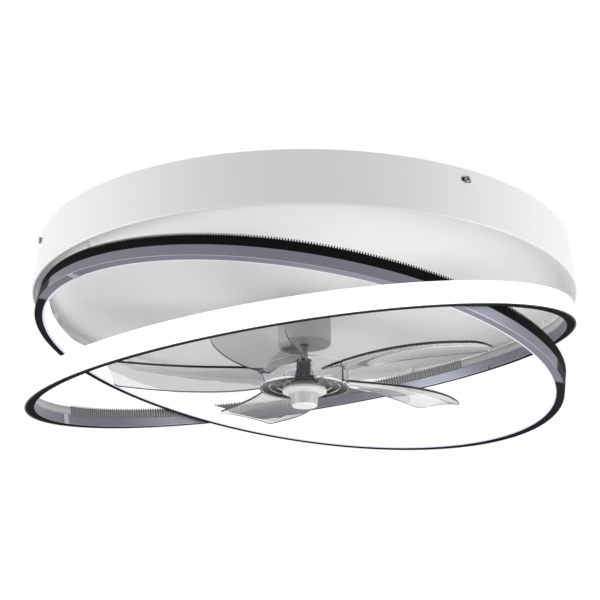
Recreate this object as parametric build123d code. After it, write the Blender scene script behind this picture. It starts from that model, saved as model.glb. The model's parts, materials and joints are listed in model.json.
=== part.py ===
from build123d import *
import math
import os

# Ceiling fan with two crossed light rings, in millimetres.
# The ceiling is the plane z = 0, the fan hangs below it, and -Y is the side that faces the viewer.

# Casing: one pressed pan with its wall, rolled lip and shallow dish
casing_radius = 260.0
wall_lean = 3.7
wall_height = 48.4
ceiling_gap = 1.0
sheet = 1.2
lip_round = 1.6
cove_foot = 2.5
cove_round = 3.0
dish_crown = 3.5
neck_clearance = 0.4
collar_clearance = 0.4

# Side screws, in short slots of the wall: two pairs, each pair across the casing
side_screw_drop = 10.2
side_screw_angles = (-59.5, 21.0, 120.5, 201.0)
side_screw_radius = 1.9
side_head_radius = 2.9
side_head_height = 2.2
side_slot_length = 10.0
side_slot_width = 4.4
side_nut_radius = 4.0
side_nut_height = 3.0

# Ceiling plate
plate_thickness = 1.2
plate_skirt = 15.0
plate_clearance = 0.3
fixing_spacing_x = 160.0
fixing_spacing_y = 110.0
fixing_slot_width = 5.5
fixing_slot_length = 16.0
cable_x = 88.0
cable_hole_radius = 9.0
grommet_bore_radius = 6.0
grommet_flange = 2.0
grommet_lip = 1.5

# Motor
motor_flange_radius = 64.0
motor_flange_thickness = 2.0
motor_radius = 52.0
motor_wall = 2.5
motor_height = 33.0
motor_screw_circle = 58.0
motor_screw_radius = 2.0
motor_head_radius = 3.8
motor_head_height = 2.4
shield_thickness = 3.0
shield_screw_circle = 47.0
shield_screw_radius = 1.5
shield_head_radius = 2.8
shield_head_height = 1.8
shield_lug_radius = 3.2
shield_lug_depth = 8.0
shield_bore_spare = 2.5
screw_count = 4
motor_screw_turn = 45.0
bearing_tube_radius = 15.0
bearing_radius = 11.0
bearing_width = 7.0
bearing_bore_radius = 4.0
bearing_shield_depth = 0.4
bearing_race = 2.0
end_web = 3.0

# Stator and rotor
stator_height = 12.0
stator_drop = 13.0
stator_yoke = 6.0
tooth_count = 9
tooth_turn = 20.0
tooth_width = 7.0
tooth_tip_width = 13.0
tooth_tip_depth = 2.0
coil_thickness = 3.0
coil_depth = 12.0
air_gap = 0.7
magnet_radius = 23.0
magnet_thickness = 3.0
clip_width = 1.0
clip_reach = 2.2
clip_groove_depth = 0.5

# Shaft
shaft_radius = 3.0
shaft_journal_radius = 4.0
shaft_body_radius = 5.0
running_clearance = 0.05
fit_clearance = 0.02

# Canopy, the neck cover under the dish
canopy_radius = 25.6
canopy_drop = 33.3
canopy_wall = 1.5
canopy_floor = 3.0
canopy_round = 1.8
canopy_screw_circle = 6.9
canopy_screw_angles = (42.0, 138.0)
canopy_screw_radius = 1.1
canopy_head_radius = 1.9
canopy_head_height = 0.8

# Hub, boss and lock cap; drops are counted from the lip
hub_drop = 55.4
hub_height = 21.8
hub_top_radius = 41.3
hub_foot_radius = 42.9
hub_wall = 2.0
hub_floor_rise = 5.9
hub_floor_thickness = 2.0
hub_ridge_radii = (20.5, 27.5, 34.5)
hub_ridge_width = 1.4
hub_ridge_height = 1.6
hub_rib_thickness = 1.4
hub_rib_top_step = 1.6
hub_rib_sweep = 48.0
sleeve_wall = 1.6
boss_drop = 48.4
boss_top_radius = 7.1
boss_foot_radius = 8.7
pin_radius = 1.25
pin_drop = 4.0
cap_neck_radius = 12.4
cap_neck_height = 5.2
cap_flange_radius = 21.2
cap_flange_height = 4.6
cap_flange_round = 1.6
cap_step_radius = 15.2
cap_step_height = 2.4
cap_body_radius = 13.0
cap_foot_radius = 10.2
cap_body_height = 10.9
cap_foot_round = 1.4
cap_bore_spare = 2.0

# Blades: a twisted sheet, cut to the blade's plan outline
blade_count = 5
first_blade_angle = 44.0
blade_reach = 190.0
blade_chord = 64.0
blade_thickness = 2.2
blade_camber = 3.2
blade_spare = 9.0
blade_tip_round = 9.0

# Stations of the sheet, and where its two edges lie there: along the reach, across the chord, and down
# the height of the hub
station_shares = (0.12, 0.33, 0.55, 0.78, 1.04)
lead_side_shares = (0.17, 0.13, 0.078, 0.135, 0.27)
trail_side_shares = (-0.33, -0.71, -0.89, -0.86, -0.46)
lead_drop_shares = (0.26, 0.23, 0.235, 0.25, 0.24)
trail_drop_shares = (0.58, 0.64, 0.61, 0.57, 0.57)
camber_shares = (0.35, 0.7, 1.0, 1.0, 0.8)

# Plan outline of a blade: the front edge, then the back edge, as shares of the reach and the chord
front_edge_shares = ((0.19, 0.155), (0.35, 0.12), (0.55, 0.078), (0.8, 0.14), (0.995, 0.24))
back_edge_shares = ((0.945, -0.7), (0.84, -0.82), (0.69, -0.9), (0.54, -0.88), (0.34, -0.72), (0.17, -0.43))

# Light rings: one section, turned round two leaning axes
ring_height = 18.6
ring_width = 9.6
ring_wall = 1.2
ring_recess = 1.2
ring_step_height = 0.3
ring_gap = 0.7
strip_thickness = 1.0
strip_rise = 0.8
diffuser_thickness = 2.0
diffuser_round = 0.8
diffuser_leg = 1.2
diffuser_leg_thickness = 1.0
snap_clearance = 0.05
tape_thickness = 0.8
tape_height = 7.0
joiner_width = 9.0
joiner_thickness = 0.6
ring_1_inset = 8.6
ring_1_hang = 0.26
ring_1_tilt = 9.4
ring_1_high_side = -160.6
ring_1_left_shift = 6.4
ring_1_front_shift = 1.7
ring_1_joiner_angle = 20.0
ring_2_tuck = 1.89
ring_2_tilt = 10.85
ring_2_high_side = 35.2
ring_2_left_shift = 3.1
ring_2_joiner_angle = 127.0

# Posts that carry the rings, with their screws, and the rivets where the rings cross
post_radius = 3.0
post_angles = (-24.0, 0.0, 24.0)
post_seat = 0.3
post_screw_radius = 1.5
post_head_radius = 2.8
post_head_height = 1.8
post_screw_spare = 0.6
rivet_radius = 1.6
rivet_head_radius = 2.8
rivet_head_height = 0.9
rivet_drop = 4.5
rivet_slack = 0.35

# Electronics inside the casing
driver_length = 150.0
driver_width = 42.0
driver_height = 24.0
driver_wall = 1.6
driver_y = 132.0
driver_angle = 35.6
lid_thickness = 1.6
ear_length = 10.0
ear_thickness = 2.0
ear_screw_radius = 1.6
ear_head_radius = 3.0
ear_head_height = 2.0
receiver_length = 72.0
receiver_width = 36.0
receiver_height = 20.0
receiver_round = 3.0
receiver_y = 110.0
receiver_angle = 190.0
terminal_length = 34.0
terminal_width = 18.0
terminal_height = 13.0
terminal_way_radius = 2.2
terminal_ways = 3
terminal_x = 118.0
terminal_foot = 4.0

# Shared small values
overrun = 5.0
screw_end_gap = 0.1

# Sizes and heights worked out from the sizes above
wall_top_radius = casing_radius - wall_lean
ring_1_back_radius = casing_radius - ring_1_inset
ring_2_back_radius = ring_1_back_radius + ring_gap
lip_z = -(ceiling_gap + wall_height)
cove_top_z = lip_z + cove_foot + cove_round
dish_edge_radius = casing_radius - 2 * lip_round - cove_round
dish_sphere = (dish_edge_radius ** 2 + dish_crown ** 2) / (2 * dish_crown)
plate_z = -plate_thickness
motor_foot_z = plate_z - motor_height
shield_z = motor_foot_z - shield_thickness
upper_bearing_z = plate_z - motor_wall
stator_z = plate_z - stator_drop
canopy_z = lip_z - canopy_drop
web_z = canopy_z + canopy_floor
lower_bearing_z = web_z + end_web
hub_z = lip_z - hub_drop
hub_foot_z = hub_z - hub_height
hub_floor_z = hub_foot_z + hub_floor_rise
boss_z = lip_z - boss_drop
cap_flange_z = hub_floor_z - cap_neck_height
cap_step_z = cap_flange_z - cap_flange_height
cap_body_z = cap_step_z - cap_step_height
cap_foot_z = cap_body_z - cap_body_height
shaft_foot_z = cap_foot_z + cap_foot_round + cap_bore_spare
side_screw_z = -ceiling_gap - side_screw_drop
neck_opening_radius = canopy_radius + neck_clearance
collar_top_z = shield_z - collar_clearance


# Basic shapes
def disc(radius, low, high):
    seat = (Align.CENTER, Align.CENTER, Align.MIN)
    return Pos(0, 0, low) * Cylinder(radius, high - low, align=seat)


def tube(outer, inner, low, high):
    return disc(outer, low, high) - disc(inner, low - overrun, high + overrun)


def block(length, width, low, high):
    seat = (Align.CENTER, Align.CENTER, Align.MIN)
    return Pos(0, 0, low) * Box(length, width, high - low, align=seat)


def turned(outline, arc=360):
    section = make_face(outline)
    return revolve(Plane.XZ * section, Axis.Z, revolution_arc=arc)


def polygon(*points):
    return Polyline(*points, close=True)


def around(angle):
    return Rot(0, 0, angle)


def screws(places, shank_radius, shank_top, head_radius, head_z, head_height):
    """Screws that stand upright with their heads down, one solid each."""
    pieces = []
    for place in places:
        shank = disc(shank_radius, head_z - head_height, shank_top)
        head = disc(head_radius, head_z - head_height, head_z)
        recess_top = head_z - head_height * 2 / 3
        recess = block(head_radius, head_height / 3, head_z - 2 * head_height, recess_top)
        pieces.append(place * (head + shank - recess))
    return pieces


def on_circle(radius, angles):
    return [around(angle) * Pos(radius, 0, 0) for angle in angles]


def even_angles(count, start=0):
    return [start + 360 / count * number for number in range(count)]


# Places that several pieces share
motor_screw_places = on_circle(motor_screw_circle, even_angles(screw_count, motor_screw_turn))
shield_screw_places = on_circle(shield_screw_circle, even_angles(screw_count))
canopy_screw_places = on_circle(canopy_screw_circle, canopy_screw_angles)
driver_place = around(driver_angle) * Pos(0, driver_y, 0)
receiver_place = around(receiver_angle) * Pos(0, receiver_y, 0)
driver_reach = (driver_length + ear_length) / 2
receiver_reach = (receiver_length + ear_length) / 2
terminal_reach = terminal_length / 2 + terminal_foot
driver_ears = [driver_place * Pos(side * driver_reach, 0, 0) for side in (-1, 1)]
receiver_ears = [receiver_place * Pos(side * receiver_reach, 0, 0) for side in (-1, 1)]
terminal_screw_places = [Pos(terminal_x, side * terminal_reach, 0) for side in (-1, 1)]
plate_radius = wall_top_radius - sheet - plate_clearance


def wall_radius(drop):
    """Outer radius of the casing's wall at a distance below its top edge."""
    return wall_top_radius + (casing_radius - wall_top_radius) * drop / (wall_height - lip_round)


def dish_z(radius):
    """Height of the dish's underside at a distance from the axis."""
    crown_z = cove_top_z + dish_crown
    return crown_z - dish_sphere + math.sqrt(dish_sphere ** 2 - radius ** 2)


# Casing and ceiling plate
def make_casing():
    lip_mid = casing_radius - lip_round
    lip_top_z = lip_z + lip_round
    inner_lip = casing_radius - 2 * lip_round
    cove_z = lip_z + cove_foot
    halfway = dish_edge_radius / 2
    slant = cove_round * math.sin(math.pi / 4)
    back_slant = (cove_round + sheet) * math.sin(math.pi / 4)
    neck_z = dish_z(neck_opening_radius)
    wall_out = Line((wall_top_radius, -ceiling_gap), (casing_radius, lip_top_z))
    lip_out = ThreePointArc((casing_radius, lip_top_z), (lip_mid, lip_z), (inner_lip, lip_top_z))
    riser_out = Line((inner_lip, lip_top_z), (inner_lip, cove_z))
    cove_out = ThreePointArc(
        (inner_lip, cove_z),
        (dish_edge_radius + slant, cove_z + slant),
        (dish_edge_radius, cove_top_z),
    )
    dish_out = ThreePointArc(
        (dish_edge_radius, cove_top_z),
        (halfway, dish_z(halfway)),
        (neck_opening_radius, neck_z),
    )
    collar = Polyline(
        (neck_opening_radius, neck_z),
        (neck_opening_radius, collar_top_z),
        (neck_opening_radius + sheet, collar_top_z),
        (neck_opening_radius + sheet, neck_z + sheet),
    )
    dish_in = ThreePointArc(
        (neck_opening_radius + sheet, neck_z + sheet),
        (halfway, dish_z(halfway) + sheet),
        (dish_edge_radius, cove_top_z + sheet),
    )
    cove_in = ThreePointArc(
        (dish_edge_radius, cove_top_z + sheet),
        (dish_edge_radius + back_slant, cove_z + back_slant),
        (inner_lip + sheet, cove_z),
    )
    riser_in = Line((inner_lip + sheet, cove_z), (inner_lip + sheet, lip_top_z))
    lip_in = ThreePointArc(
        (inner_lip + sheet, lip_top_z),
        (lip_mid, lip_z + sheet),
        (casing_radius - sheet, lip_top_z),
    )
    wall_in = Polyline(
        (casing_radius - sheet, lip_top_z),
        (wall_top_radius - sheet, -ceiling_gap),
        (wall_top_radius, -ceiling_gap),
    )
    edges = wall_out + lip_out + riser_out + cove_out + dish_out + collar
    edges += dish_in + cove_in + riser_in + lip_in + wall_in
    shell = turned(edges)
    slot = SlotOverall(side_slot_length, side_slot_width)
    for angle in side_screw_angles:
        slot_plane = Plane(
            origin=(0, 0, side_screw_z),
            x_dir=(-math.sin(math.radians(angle)), math.cos(math.radians(angle)), 0),
            z_dir=(math.cos(math.radians(angle)), math.sin(math.radians(angle)), 0),
        )
        shell -= extrude(slot_plane * slot, casing_radius + overrun)
    bore = post_screw_radius + fit_clearance
    return shell - [place * disc(bore, top - overrun, top + overrun) for place, top in post_places()]


def make_ceiling_plate():
    inner = plate_radius - plate_thickness
    section = polygon(
        (0, 0),
        (plate_radius - plate_thickness, 0),
        (plate_radius, plate_z),
        (plate_radius, -plate_skirt),
        (inner, -plate_skirt),
        (inner, plate_z),
        (0, plate_z),
    )
    plate = turned(section)
    slot = SlotOverall(fixing_slot_length, fixing_slot_width)
    for x_side in (-1, 1):
        for y_side in (-1, 1):
            place = Pos(x_side * fixing_spacing_x / 2, y_side * fixing_spacing_y / 2, plate_z - overrun)
            plate -= extrude(place * slot, plate_thickness + 2 * overrun)
    plate -= Pos(cable_x, 0, 0) * disc(cable_hole_radius, plate_z - overrun, overrun)
    for place in motor_screw_places:
        plate -= place * disc(motor_screw_radius + fit_clearance, plate_z - overrun, overrun)
    for place in driver_ears + receiver_ears + terminal_screw_places:
        plate -= place * disc(ear_screw_radius + fit_clearance, plate_z - overrun, overrun)
    bore = side_screw_radius + fit_clearance
    side_hole = Rot(0, 90, 0) * disc(bore, inner - overrun, plate_radius + overrun)
    for angle in side_screw_angles:
        plate -= around(angle) * Pos(0, 0, side_screw_z) * side_hole
    return plate


def make_cable_grommet():
    neck = cable_hole_radius - fit_clearance
    rim = cable_hole_radius + grommet_flange
    section = polygon(
        (grommet_bore_radius, -screw_end_gap),
        (neck, -screw_end_gap),
        (neck, plate_z),
        (rim, plate_z),
        (rim - grommet_lip / 2, plate_z - grommet_lip),
        (grommet_bore_radius, plate_z - grommet_lip),
    )
    return Pos(cable_x, 0, 0) * turned(section)


def make_side_screws():
    seat = wall_radius(side_screw_drop + side_head_radius) + fit_clearance
    inner_end = plate_radius - plate_thickness - side_nut_height
    shank = disc(side_screw_radius, inner_end, seat + side_head_height / 2)
    head = disc(side_head_radius, seat, seat + side_head_height)
    rim = head.edges().filter_by(GeomType.CIRCLE).sort_by(Axis.Z)[-1]
    head = fillet(rim, side_head_height / 3)
    cross = block(side_head_radius, side_head_height / 3, seat + side_head_height / 2, seat + overrun)
    screw = head + shank - cross - around(90) * cross
    return [around(angle) * Pos(0, 0, side_screw_z) * Rot(0, 90, 0) * screw for angle in side_screw_angles]


def make_side_nuts():
    inner = plate_radius - plate_thickness
    bore = side_screw_radius + fit_clearance
    hexagon = RegularPolygon(side_nut_radius, 6) - Circle(bore)
    flat = math.sqrt(inner ** 2 - side_nut_radius ** 2)
    nut = extrude(Pos(0, 0, flat - side_nut_height) * hexagon, side_nut_height)
    return [around(angle) * Pos(0, 0, side_screw_z) * Rot(0, 90, 0) * nut for angle in side_screw_angles]


# Motor
def bearing_seat_radius():
    return bearing_radius + fit_clearance


def make_motor_case():
    inner = motor_radius - motor_wall
    seat_wall = bearing_seat_radius() + motor_wall
    flange_foot = plate_z - motor_flange_thickness
    top_in = plate_z - motor_wall
    section = polygon(
        (0, plate_z),
        (motor_flange_radius, plate_z),
        (motor_flange_radius, flange_foot),
        (motor_radius, flange_foot),
        (motor_radius, motor_foot_z),
        (inner, motor_foot_z),
        (inner, top_in),
        (seat_wall, top_in),
        (seat_wall, upper_bearing_z - bearing_width),
        (bearing_seat_radius(), upper_bearing_z - bearing_width),
        (bearing_seat_radius(), upper_bearing_z),
        (0, upper_bearing_z),
    )
    case = turned(section)
    for place in motor_screw_places:
        case -= place * disc(motor_screw_radius + fit_clearance, plate_z - overrun, plate_z + overrun)
    bore_radius = shield_screw_radius + fit_clearance
    for place in shield_screw_places:
        case += place * disc(shield_lug_radius, motor_foot_z, motor_foot_z + shield_lug_depth)
        case -= place * disc(bore_radius, motor_foot_z, motor_foot_z + shield_lug_depth / 2)
    return case


def make_motor_screws():
    head_z = plate_z - motor_flange_thickness
    places = motor_screw_places
    return screws(places, motor_screw_radius, -screw_end_gap, motor_head_radius, head_z, motor_head_height)


def make_end_shield():
    seat = bearing_seat_radius()
    bore = shaft_body_radius + shield_bore_spare
    section = polygon(
        (bore, motor_foot_z),
        (motor_radius, motor_foot_z),
        (motor_radius, shield_z),
        (bearing_tube_radius, shield_z),
        (bearing_tube_radius, web_z),
        (shaft_journal_radius, web_z),
        (shaft_journal_radius, lower_bearing_z),
        (seat, lower_bearing_z),
        (seat, lower_bearing_z + bearing_width),
        (bore, lower_bearing_z + bearing_width),
    )
    shield = turned(section)
    bore_radius = shield_screw_radius + fit_clearance
    for place in shield_screw_places:
        shield -= place * disc(bore_radius, shield_z - overrun, motor_foot_z + overrun)
    for place in canopy_screw_places:
        shield -= place * disc(canopy_screw_radius + fit_clearance, web_z - overrun, lower_bearing_z)
    return shield


def make_shield_screws():
    top = motor_foot_z + shield_lug_depth / 2 - screw_end_gap
    places = shield_screw_places
    return screws(places, shield_screw_radius, top, shield_head_radius, shield_z, shield_head_height)


def make_bearing(low):
    """A sealed ball bearing: two races with a sunk shield between them on each side."""
    inner = bearing_bore_radius + running_clearance
    outer = bearing_radius
    high = low + bearing_width
    in_race = inner + bearing_race
    out_race = outer - bearing_race
    section = polygon(
        (inner, low),
        (in_race, low),
        (in_race, low + bearing_shield_depth),
        (out_race, low + bearing_shield_depth),
        (out_race, low),
        (outer, low),
        (outer, high),
        (out_race, high),
        (out_race, high - bearing_shield_depth),
        (in_race, high - bearing_shield_depth),
        (in_race, high),
        (inner, high),
    )
    return turned(section)


def tooth_inner_radius():
    return magnet_radius + air_gap


def make_stator_core():
    outer = motor_radius - motor_wall - fit_clearance
    low = stator_z - stator_height
    inner = tooth_inner_radius()
    core = tube(outer, outer - stator_yoke, low, stator_z)
    for angle in even_angles(tooth_count, tooth_turn):
        length = outer - stator_yoke / 2 - inner
        tooth = Pos(inner + length / 2, 0, 0) * block(length, tooth_width, low, stator_z)
        tip = Pos(inner + tooth_tip_depth / 2, 0, 0) * block(tooth_tip_depth, tooth_tip_width, low, stator_z)
        core += around(angle) * (tooth + tip)
    core -= disc(inner, low - overrun, stator_z + overrun)
    for place in shield_screw_places:
        core -= place * disc(shield_lug_radius + fit_clearance, low - overrun, stator_z + overrun)
    return core


def make_stator_coils():
    low = stator_z - stator_height
    start = tooth_inner_radius() + tooth_tip_depth + coil_thickness / 2
    core_foot = low - fit_clearance
    core = block(coil_depth + overrun, tooth_width + fit_clearance, core_foot, stator_z + fit_clearance)
    width = tooth_width + 2 * coil_thickness
    coil = block(coil_depth, width, low - coil_thickness, stator_z + coil_thickness) - core
    coils = []
    for angle in even_angles(tooth_count, tooth_turn):
        coils.append(around(angle) * Pos(start + coil_depth / 2, 0, 0) * coil)
    return coils


def make_rotor_core():
    low = stator_z - stator_height
    outer = magnet_radius - magnet_thickness - fit_clearance
    return tube(outer, shaft_body_radius + fit_clearance, low, stator_z)


def make_rotor_magnets():
    low = stator_z - stator_height
    return tube(magnet_radius, magnet_radius - magnet_thickness, low, stator_z)


def make_rotor_clip():
    high = stator_z - stator_height
    inner = shaft_body_radius - clip_groove_depth + fit_clearance
    return tube(shaft_body_radius + clip_reach, inner, high - clip_width, high)


# Shaft and what it carries
def make_shaft():
    shoulder_top = upper_bearing_z - bearing_width
    shoulder_foot = lower_bearing_z + bearing_width
    clip_high = stator_z - stator_height
    groove = shaft_body_radius - clip_groove_depth
    section = polygon(
        (0, upper_bearing_z - screw_end_gap),
        (shaft_journal_radius, upper_bearing_z - screw_end_gap),
        (shaft_journal_radius, shoulder_top - screw_end_gap),
        (shaft_body_radius, shoulder_top - screw_end_gap),
        (shaft_body_radius, clip_high),
        (groove, clip_high),
        (groove, clip_high - clip_width),
        (shaft_body_radius, clip_high - clip_width),
        (shaft_body_radius, shoulder_foot + screw_end_gap),
        (shaft_journal_radius, shoulder_foot + screw_end_gap),
        (shaft_journal_radius, lower_bearing_z),
        (shaft_radius, lower_bearing_z),
        (shaft_radius, shaft_foot_z),
        (0, shaft_foot_z),
    )
    return turned(section) - drive_pin_shape(pin_radius + fit_clearance, overrun)


def drive_pin_shape(radius, spare):
    reach = 2 * (boss_top_radius + spare)
    return Pos(0, 0, boss_z - pin_drop) * Rot(0, 90, 0) * Cylinder(radius, reach)


def make_drive_pin():
    return drive_pin_shape(pin_radius, -pin_radius / 4)


def make_hub_boss():
    bore = shaft_radius + fit_clearance
    chamfer = sleeve_wall / 3
    section = polygon(
        (bore, boss_z),
        (boss_top_radius - chamfer, boss_z),
        (boss_top_radius, boss_z - chamfer),
        (boss_foot_radius, hub_floor_z),
        (bore, hub_floor_z),
    )
    return turned(section) - drive_pin_shape(pin_radius + fit_clearance, overrun)


def boss_radius_at(height):
    share = (boss_z - height) / (boss_z - hub_floor_z)
    return boss_top_radius + (boss_foot_radius - boss_top_radius) * share


def make_hub():
    """The clear hub: wall, raised floor with ridges, sleeve round the boss, and swept inner ribs."""
    floor_top = hub_floor_z + hub_floor_thickness
    rib_top = hub_z - hub_rib_top_step
    sleeve_in = boss_radius_at(rib_top) + fit_clearance
    sleeve_foot = boss_radius_at(hub_floor_z) + fit_clearance
    section = polygon(
        (sleeve_foot, hub_floor_z),
        (hub_foot_radius - hub_wall, hub_floor_z),
        (hub_foot_radius - hub_wall, hub_foot_z),
        (hub_foot_radius, hub_foot_z),
        (hub_top_radius, hub_z),
        (hub_top_radius - hub_wall, hub_z),
        (hub_foot_radius - hub_wall, floor_top),
        (sleeve_foot + sleeve_wall, floor_top),
        (sleeve_in + sleeve_wall, rib_top),
        (sleeve_in, rib_top),
    )
    hub = turned(section)
    for radius in hub_ridge_radii:
        hub += tube(radius, radius - hub_ridge_width, hub_floor_z - hub_ridge_height, floor_top)
    start = sleeve_foot + sleeve_wall / 2
    end = hub_top_radius - hub_wall / 2
    middle = (start + end) / 2
    for angle in even_angles(blade_count, first_blade_angle):
        turn = math.radians(hub_rib_sweep)
        line = ThreePointArc(
            (start * math.cos(turn), start * math.sin(turn)),
            (middle * math.cos(turn / 2), middle * math.sin(turn / 2)),
            (end, 0),
        )
        wall = Pos(0, 0, hub_floor_z) * trace(line, hub_rib_thickness)
        hub += around(angle) * extrude(wall, rib_top - hub_floor_z)
    return hub


def blade_section(number):
    """One cross section of the twisted sheet: its middle arc passes through both edges and runs past them."""
    station = blade_reach * station_shares[number]
    lead = Vector(blade_chord * lead_side_shares[number], hub_z - hub_height * lead_drop_shares[number])
    trail = Vector(blade_chord * trail_side_shares[number], hub_z - hub_height * trail_drop_shares[number])
    chord = (lead - trail).length
    along = (lead - trail).normalized()
    upwards = Vector(-along.Y, along.X)
    rise = blade_camber * camber_shares[number]
    dip = 4 * rise * blade_spare * (chord + blade_spare) / chord ** 2
    half = Vector(0, blade_thickness / 2)
    front = lead + along * blade_spare - upwards * dip
    back = trail - along * blade_spare - upwards * dip
    middle = (lead + trail) / 2 + upwards * rise
    under = ThreePointArc(back - half, middle - half, front - half)
    over = ThreePointArc(front + half, middle + half, back + half)
    ends = Line(front - half, front + half) + Line(back + half, back - half)
    plane = Plane(origin=(station, 0, 0), x_dir=(0, 1, 0), z_dir=(1, 0, 0))
    return plane * make_face(under + over + ends)


def blade_outline():
    front = [(blade_reach * along, blade_chord * across) for along, across in front_edge_shares]
    back = [(blade_reach * along, blade_chord * across) for along, across in back_edge_shares]
    front_edge = Spline(*front)
    tip = Line(front[-1], back[0])
    back_edge = Spline(*back)
    root = Line(back[-1], front[0])
    outline = make_face(front_edge + tip + back_edge + root)
    corners = outline.vertices().sort_by(Axis.X)[-2:]
    return fillet(corners, blade_tip_round)


def make_blade():
    sheet_solid = loft([blade_section(number) for number in range(len(station_shares))])
    low = hub_foot_z - blade_spare
    cutter = extrude(Pos(0, 0, low) * blade_outline(), hub_z + 2 * blade_spare - low)
    inside = disc(hub_top_radius - hub_wall / 2, low - overrun, hub_z + 3 * blade_spare)
    return (sheet_solid & cutter) - inside


def make_impeller():
    impeller = make_hub()
    blade = make_blade()
    blades = [around(angle) * blade for angle in even_angles(blade_count, first_blade_angle)]
    return impeller.fuse(*blades)


def make_lock_cap():
    bore = shaft_radius + fit_clearance
    neck = Polyline(
        (bore, hub_floor_z),
        (cap_neck_radius, hub_floor_z),
        (cap_neck_radius, cap_flange_z),
        (cap_flange_radius, cap_flange_z),
        (cap_flange_radius, cap_step_z),
        (cap_step_radius, cap_step_z),
        (cap_step_radius, cap_body_z),
        (cap_body_radius, cap_body_z),
        (cap_foot_radius, cap_foot_z),
        (0, cap_foot_z),
        (0, shaft_foot_z - fit_clearance),
        (bore, shaft_foot_z - fit_clearance),
        close=True,
    )
    section = make_face(neck)
    rim = section.vertices().sort_by(Axis.X)[-2:]
    section = fillet(rim, cap_flange_round)
    foot = section.vertices().sort_by(Axis.Y)[:2].sort_by(Axis.X)[-1]
    section = fillet(foot, cap_foot_round)
    return revolve(Plane.XZ * section, Axis.Z)


def make_canopy():
    inner = canopy_radius - canopy_wall
    section = polygon(
        (shaft_radius + canopy_wall, canopy_z),
        (canopy_radius, canopy_z),
        (canopy_radius, collar_top_z),
        (inner, collar_top_z),
        (inner, web_z),
        (shaft_radius + canopy_wall, web_z),
    )
    face = make_face(section)
    corner = face.vertices().sort_by(Axis.Y)[:2].sort_by(Axis.X)[-1]
    face = fillet(corner, canopy_round)
    canopy = revolve(Plane.XZ * face, Axis.Z)
    for place in canopy_screw_places:
        canopy -= place * disc(canopy_screw_radius + fit_clearance, canopy_z - overrun, web_z + overrun)
        sink = disc(canopy_head_radius + fit_clearance, canopy_z - overrun, canopy_z + canopy_head_height)
        canopy -= place * sink
    return canopy


def make_canopy_screws():
    head_z = canopy_z + canopy_head_height
    top = lower_bearing_z - screw_end_gap
    places = canopy_screw_places
    return screws(places, canopy_screw_radius, top, canopy_head_radius, head_z, canopy_head_height / 2)


# Light rings
def ring_plane(back_radius, tilt, high_side, hang, centre_x, centre_y):
    """The leaning plane of a ring: its X axis points uphill, where its top edge hangs under the lip."""
    lean = math.radians(tilt)
    drop = hang + back_radius * math.sin(lean) + ring_height / 2 * math.cos(lean)
    way = math.radians(high_side)
    uphill = (math.cos(lean) * math.cos(way), math.cos(lean) * math.sin(way), math.sin(lean))
    normal = (-math.sin(lean) * math.cos(way), -math.sin(lean) * math.sin(way), math.cos(lean))
    return Plane(origin=(centre_x, centre_y, lip_z - drop), x_dir=uphill, z_dir=normal)


# Each ring: its plane, the radius of its back, and the way that its diffuser faces
plane_1 = ring_plane(
    ring_1_back_radius,
    ring_1_tilt,
    ring_1_high_side,
    ring_1_hang,
    -ring_1_left_shift,
    -ring_1_front_shift,
)
plane_2 = ring_plane(ring_2_back_radius, ring_2_tilt, ring_2_high_side, -ring_2_tuck, -ring_2_left_shift, 0)
ring_1 = (plane_1, ring_1_back_radius, -1)
ring_2 = (plane_2, ring_2_back_radius, 1)


def ring_turned(ring, points, arc=360, start=0):
    """Turn a section, given as depth from the ring's back and height, round the ring's leaning axis."""
    plane, back_radius, facing = ring
    outline = [(back_radius + facing * depth, height) for depth, height in points]
    return plane * around(start) * turned(polygon(*outline), arc)


def make_ring_channel(ring):
    half = ring_height / 2
    mouth = ring_width - diffuser_thickness - snap_clearance
    step = ring_recess + ring_wall
    points = [
        (0, -half),
        (mouth, -half),
        (mouth, -half + ring_wall),
        (ring_wall, -half + ring_wall),
        (ring_wall, ring_step_height - ring_wall),
        (step, ring_step_height - ring_wall),
        (step, half - ring_wall),
        (mouth, half - ring_wall),
        (mouth, half),
        (ring_recess, half),
        (ring_recess, ring_step_height),
        (0, ring_step_height),
    ]
    channel = ring_turned(ring, points)
    for place, top in ring_post_places(ring):
        channel -= place * disc(post_screw_radius + fit_clearance, lip_z - 2 * ring_height, top)
    for rivet_axis in rivet_axes():
        channel -= rivet_axis * Cylinder(rivet_radius + fit_clearance, 2 * ring_width)
    return channel


def make_ring_strip(ring):
    half = ring_height / 2
    points = [
        (ring_recess - strip_thickness, ring_step_height),
        (ring_recess, ring_step_height),
        (ring_recess, half + strip_rise),
        (ring_recess - strip_thickness, half + strip_rise),
    ]
    return ring_turned(ring, points)


def make_ring_diffuser(ring):
    half = ring_height / 2
    back = ring_width - diffuser_thickness
    leg_end = back - diffuser_leg
    leg_out = half - ring_wall - snap_clearance
    leg_in = leg_out - diffuser_leg_thickness
    points = [
        (back, -half),
        (ring_width - diffuser_round, -half),
        (ring_width, -half + diffuser_round),
        (ring_width, half - diffuser_round),
        (ring_width - diffuser_round, half),
        (back, half),
        (back, leg_out),
        (leg_end, leg_out),
        (leg_end, leg_in),
        (back, leg_in),
        (back, -leg_in),
        (leg_end, -leg_in),
        (leg_end, -leg_out),
        (back, -leg_out),
    ]
    return ring_turned(ring, points)


def make_ring_tape(ring):
    back = ring_recess + ring_wall
    low = ring_step_height - ring_wall
    points = [
        (back, low),
        (back + tape_thickness, low),
        (back + tape_thickness, low + tape_height),
        (back, low + tape_height),
    ]
    return ring_turned(ring, points)


def joiner_arc(ring):
    return math.degrees(joiner_width / ring[1])


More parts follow.
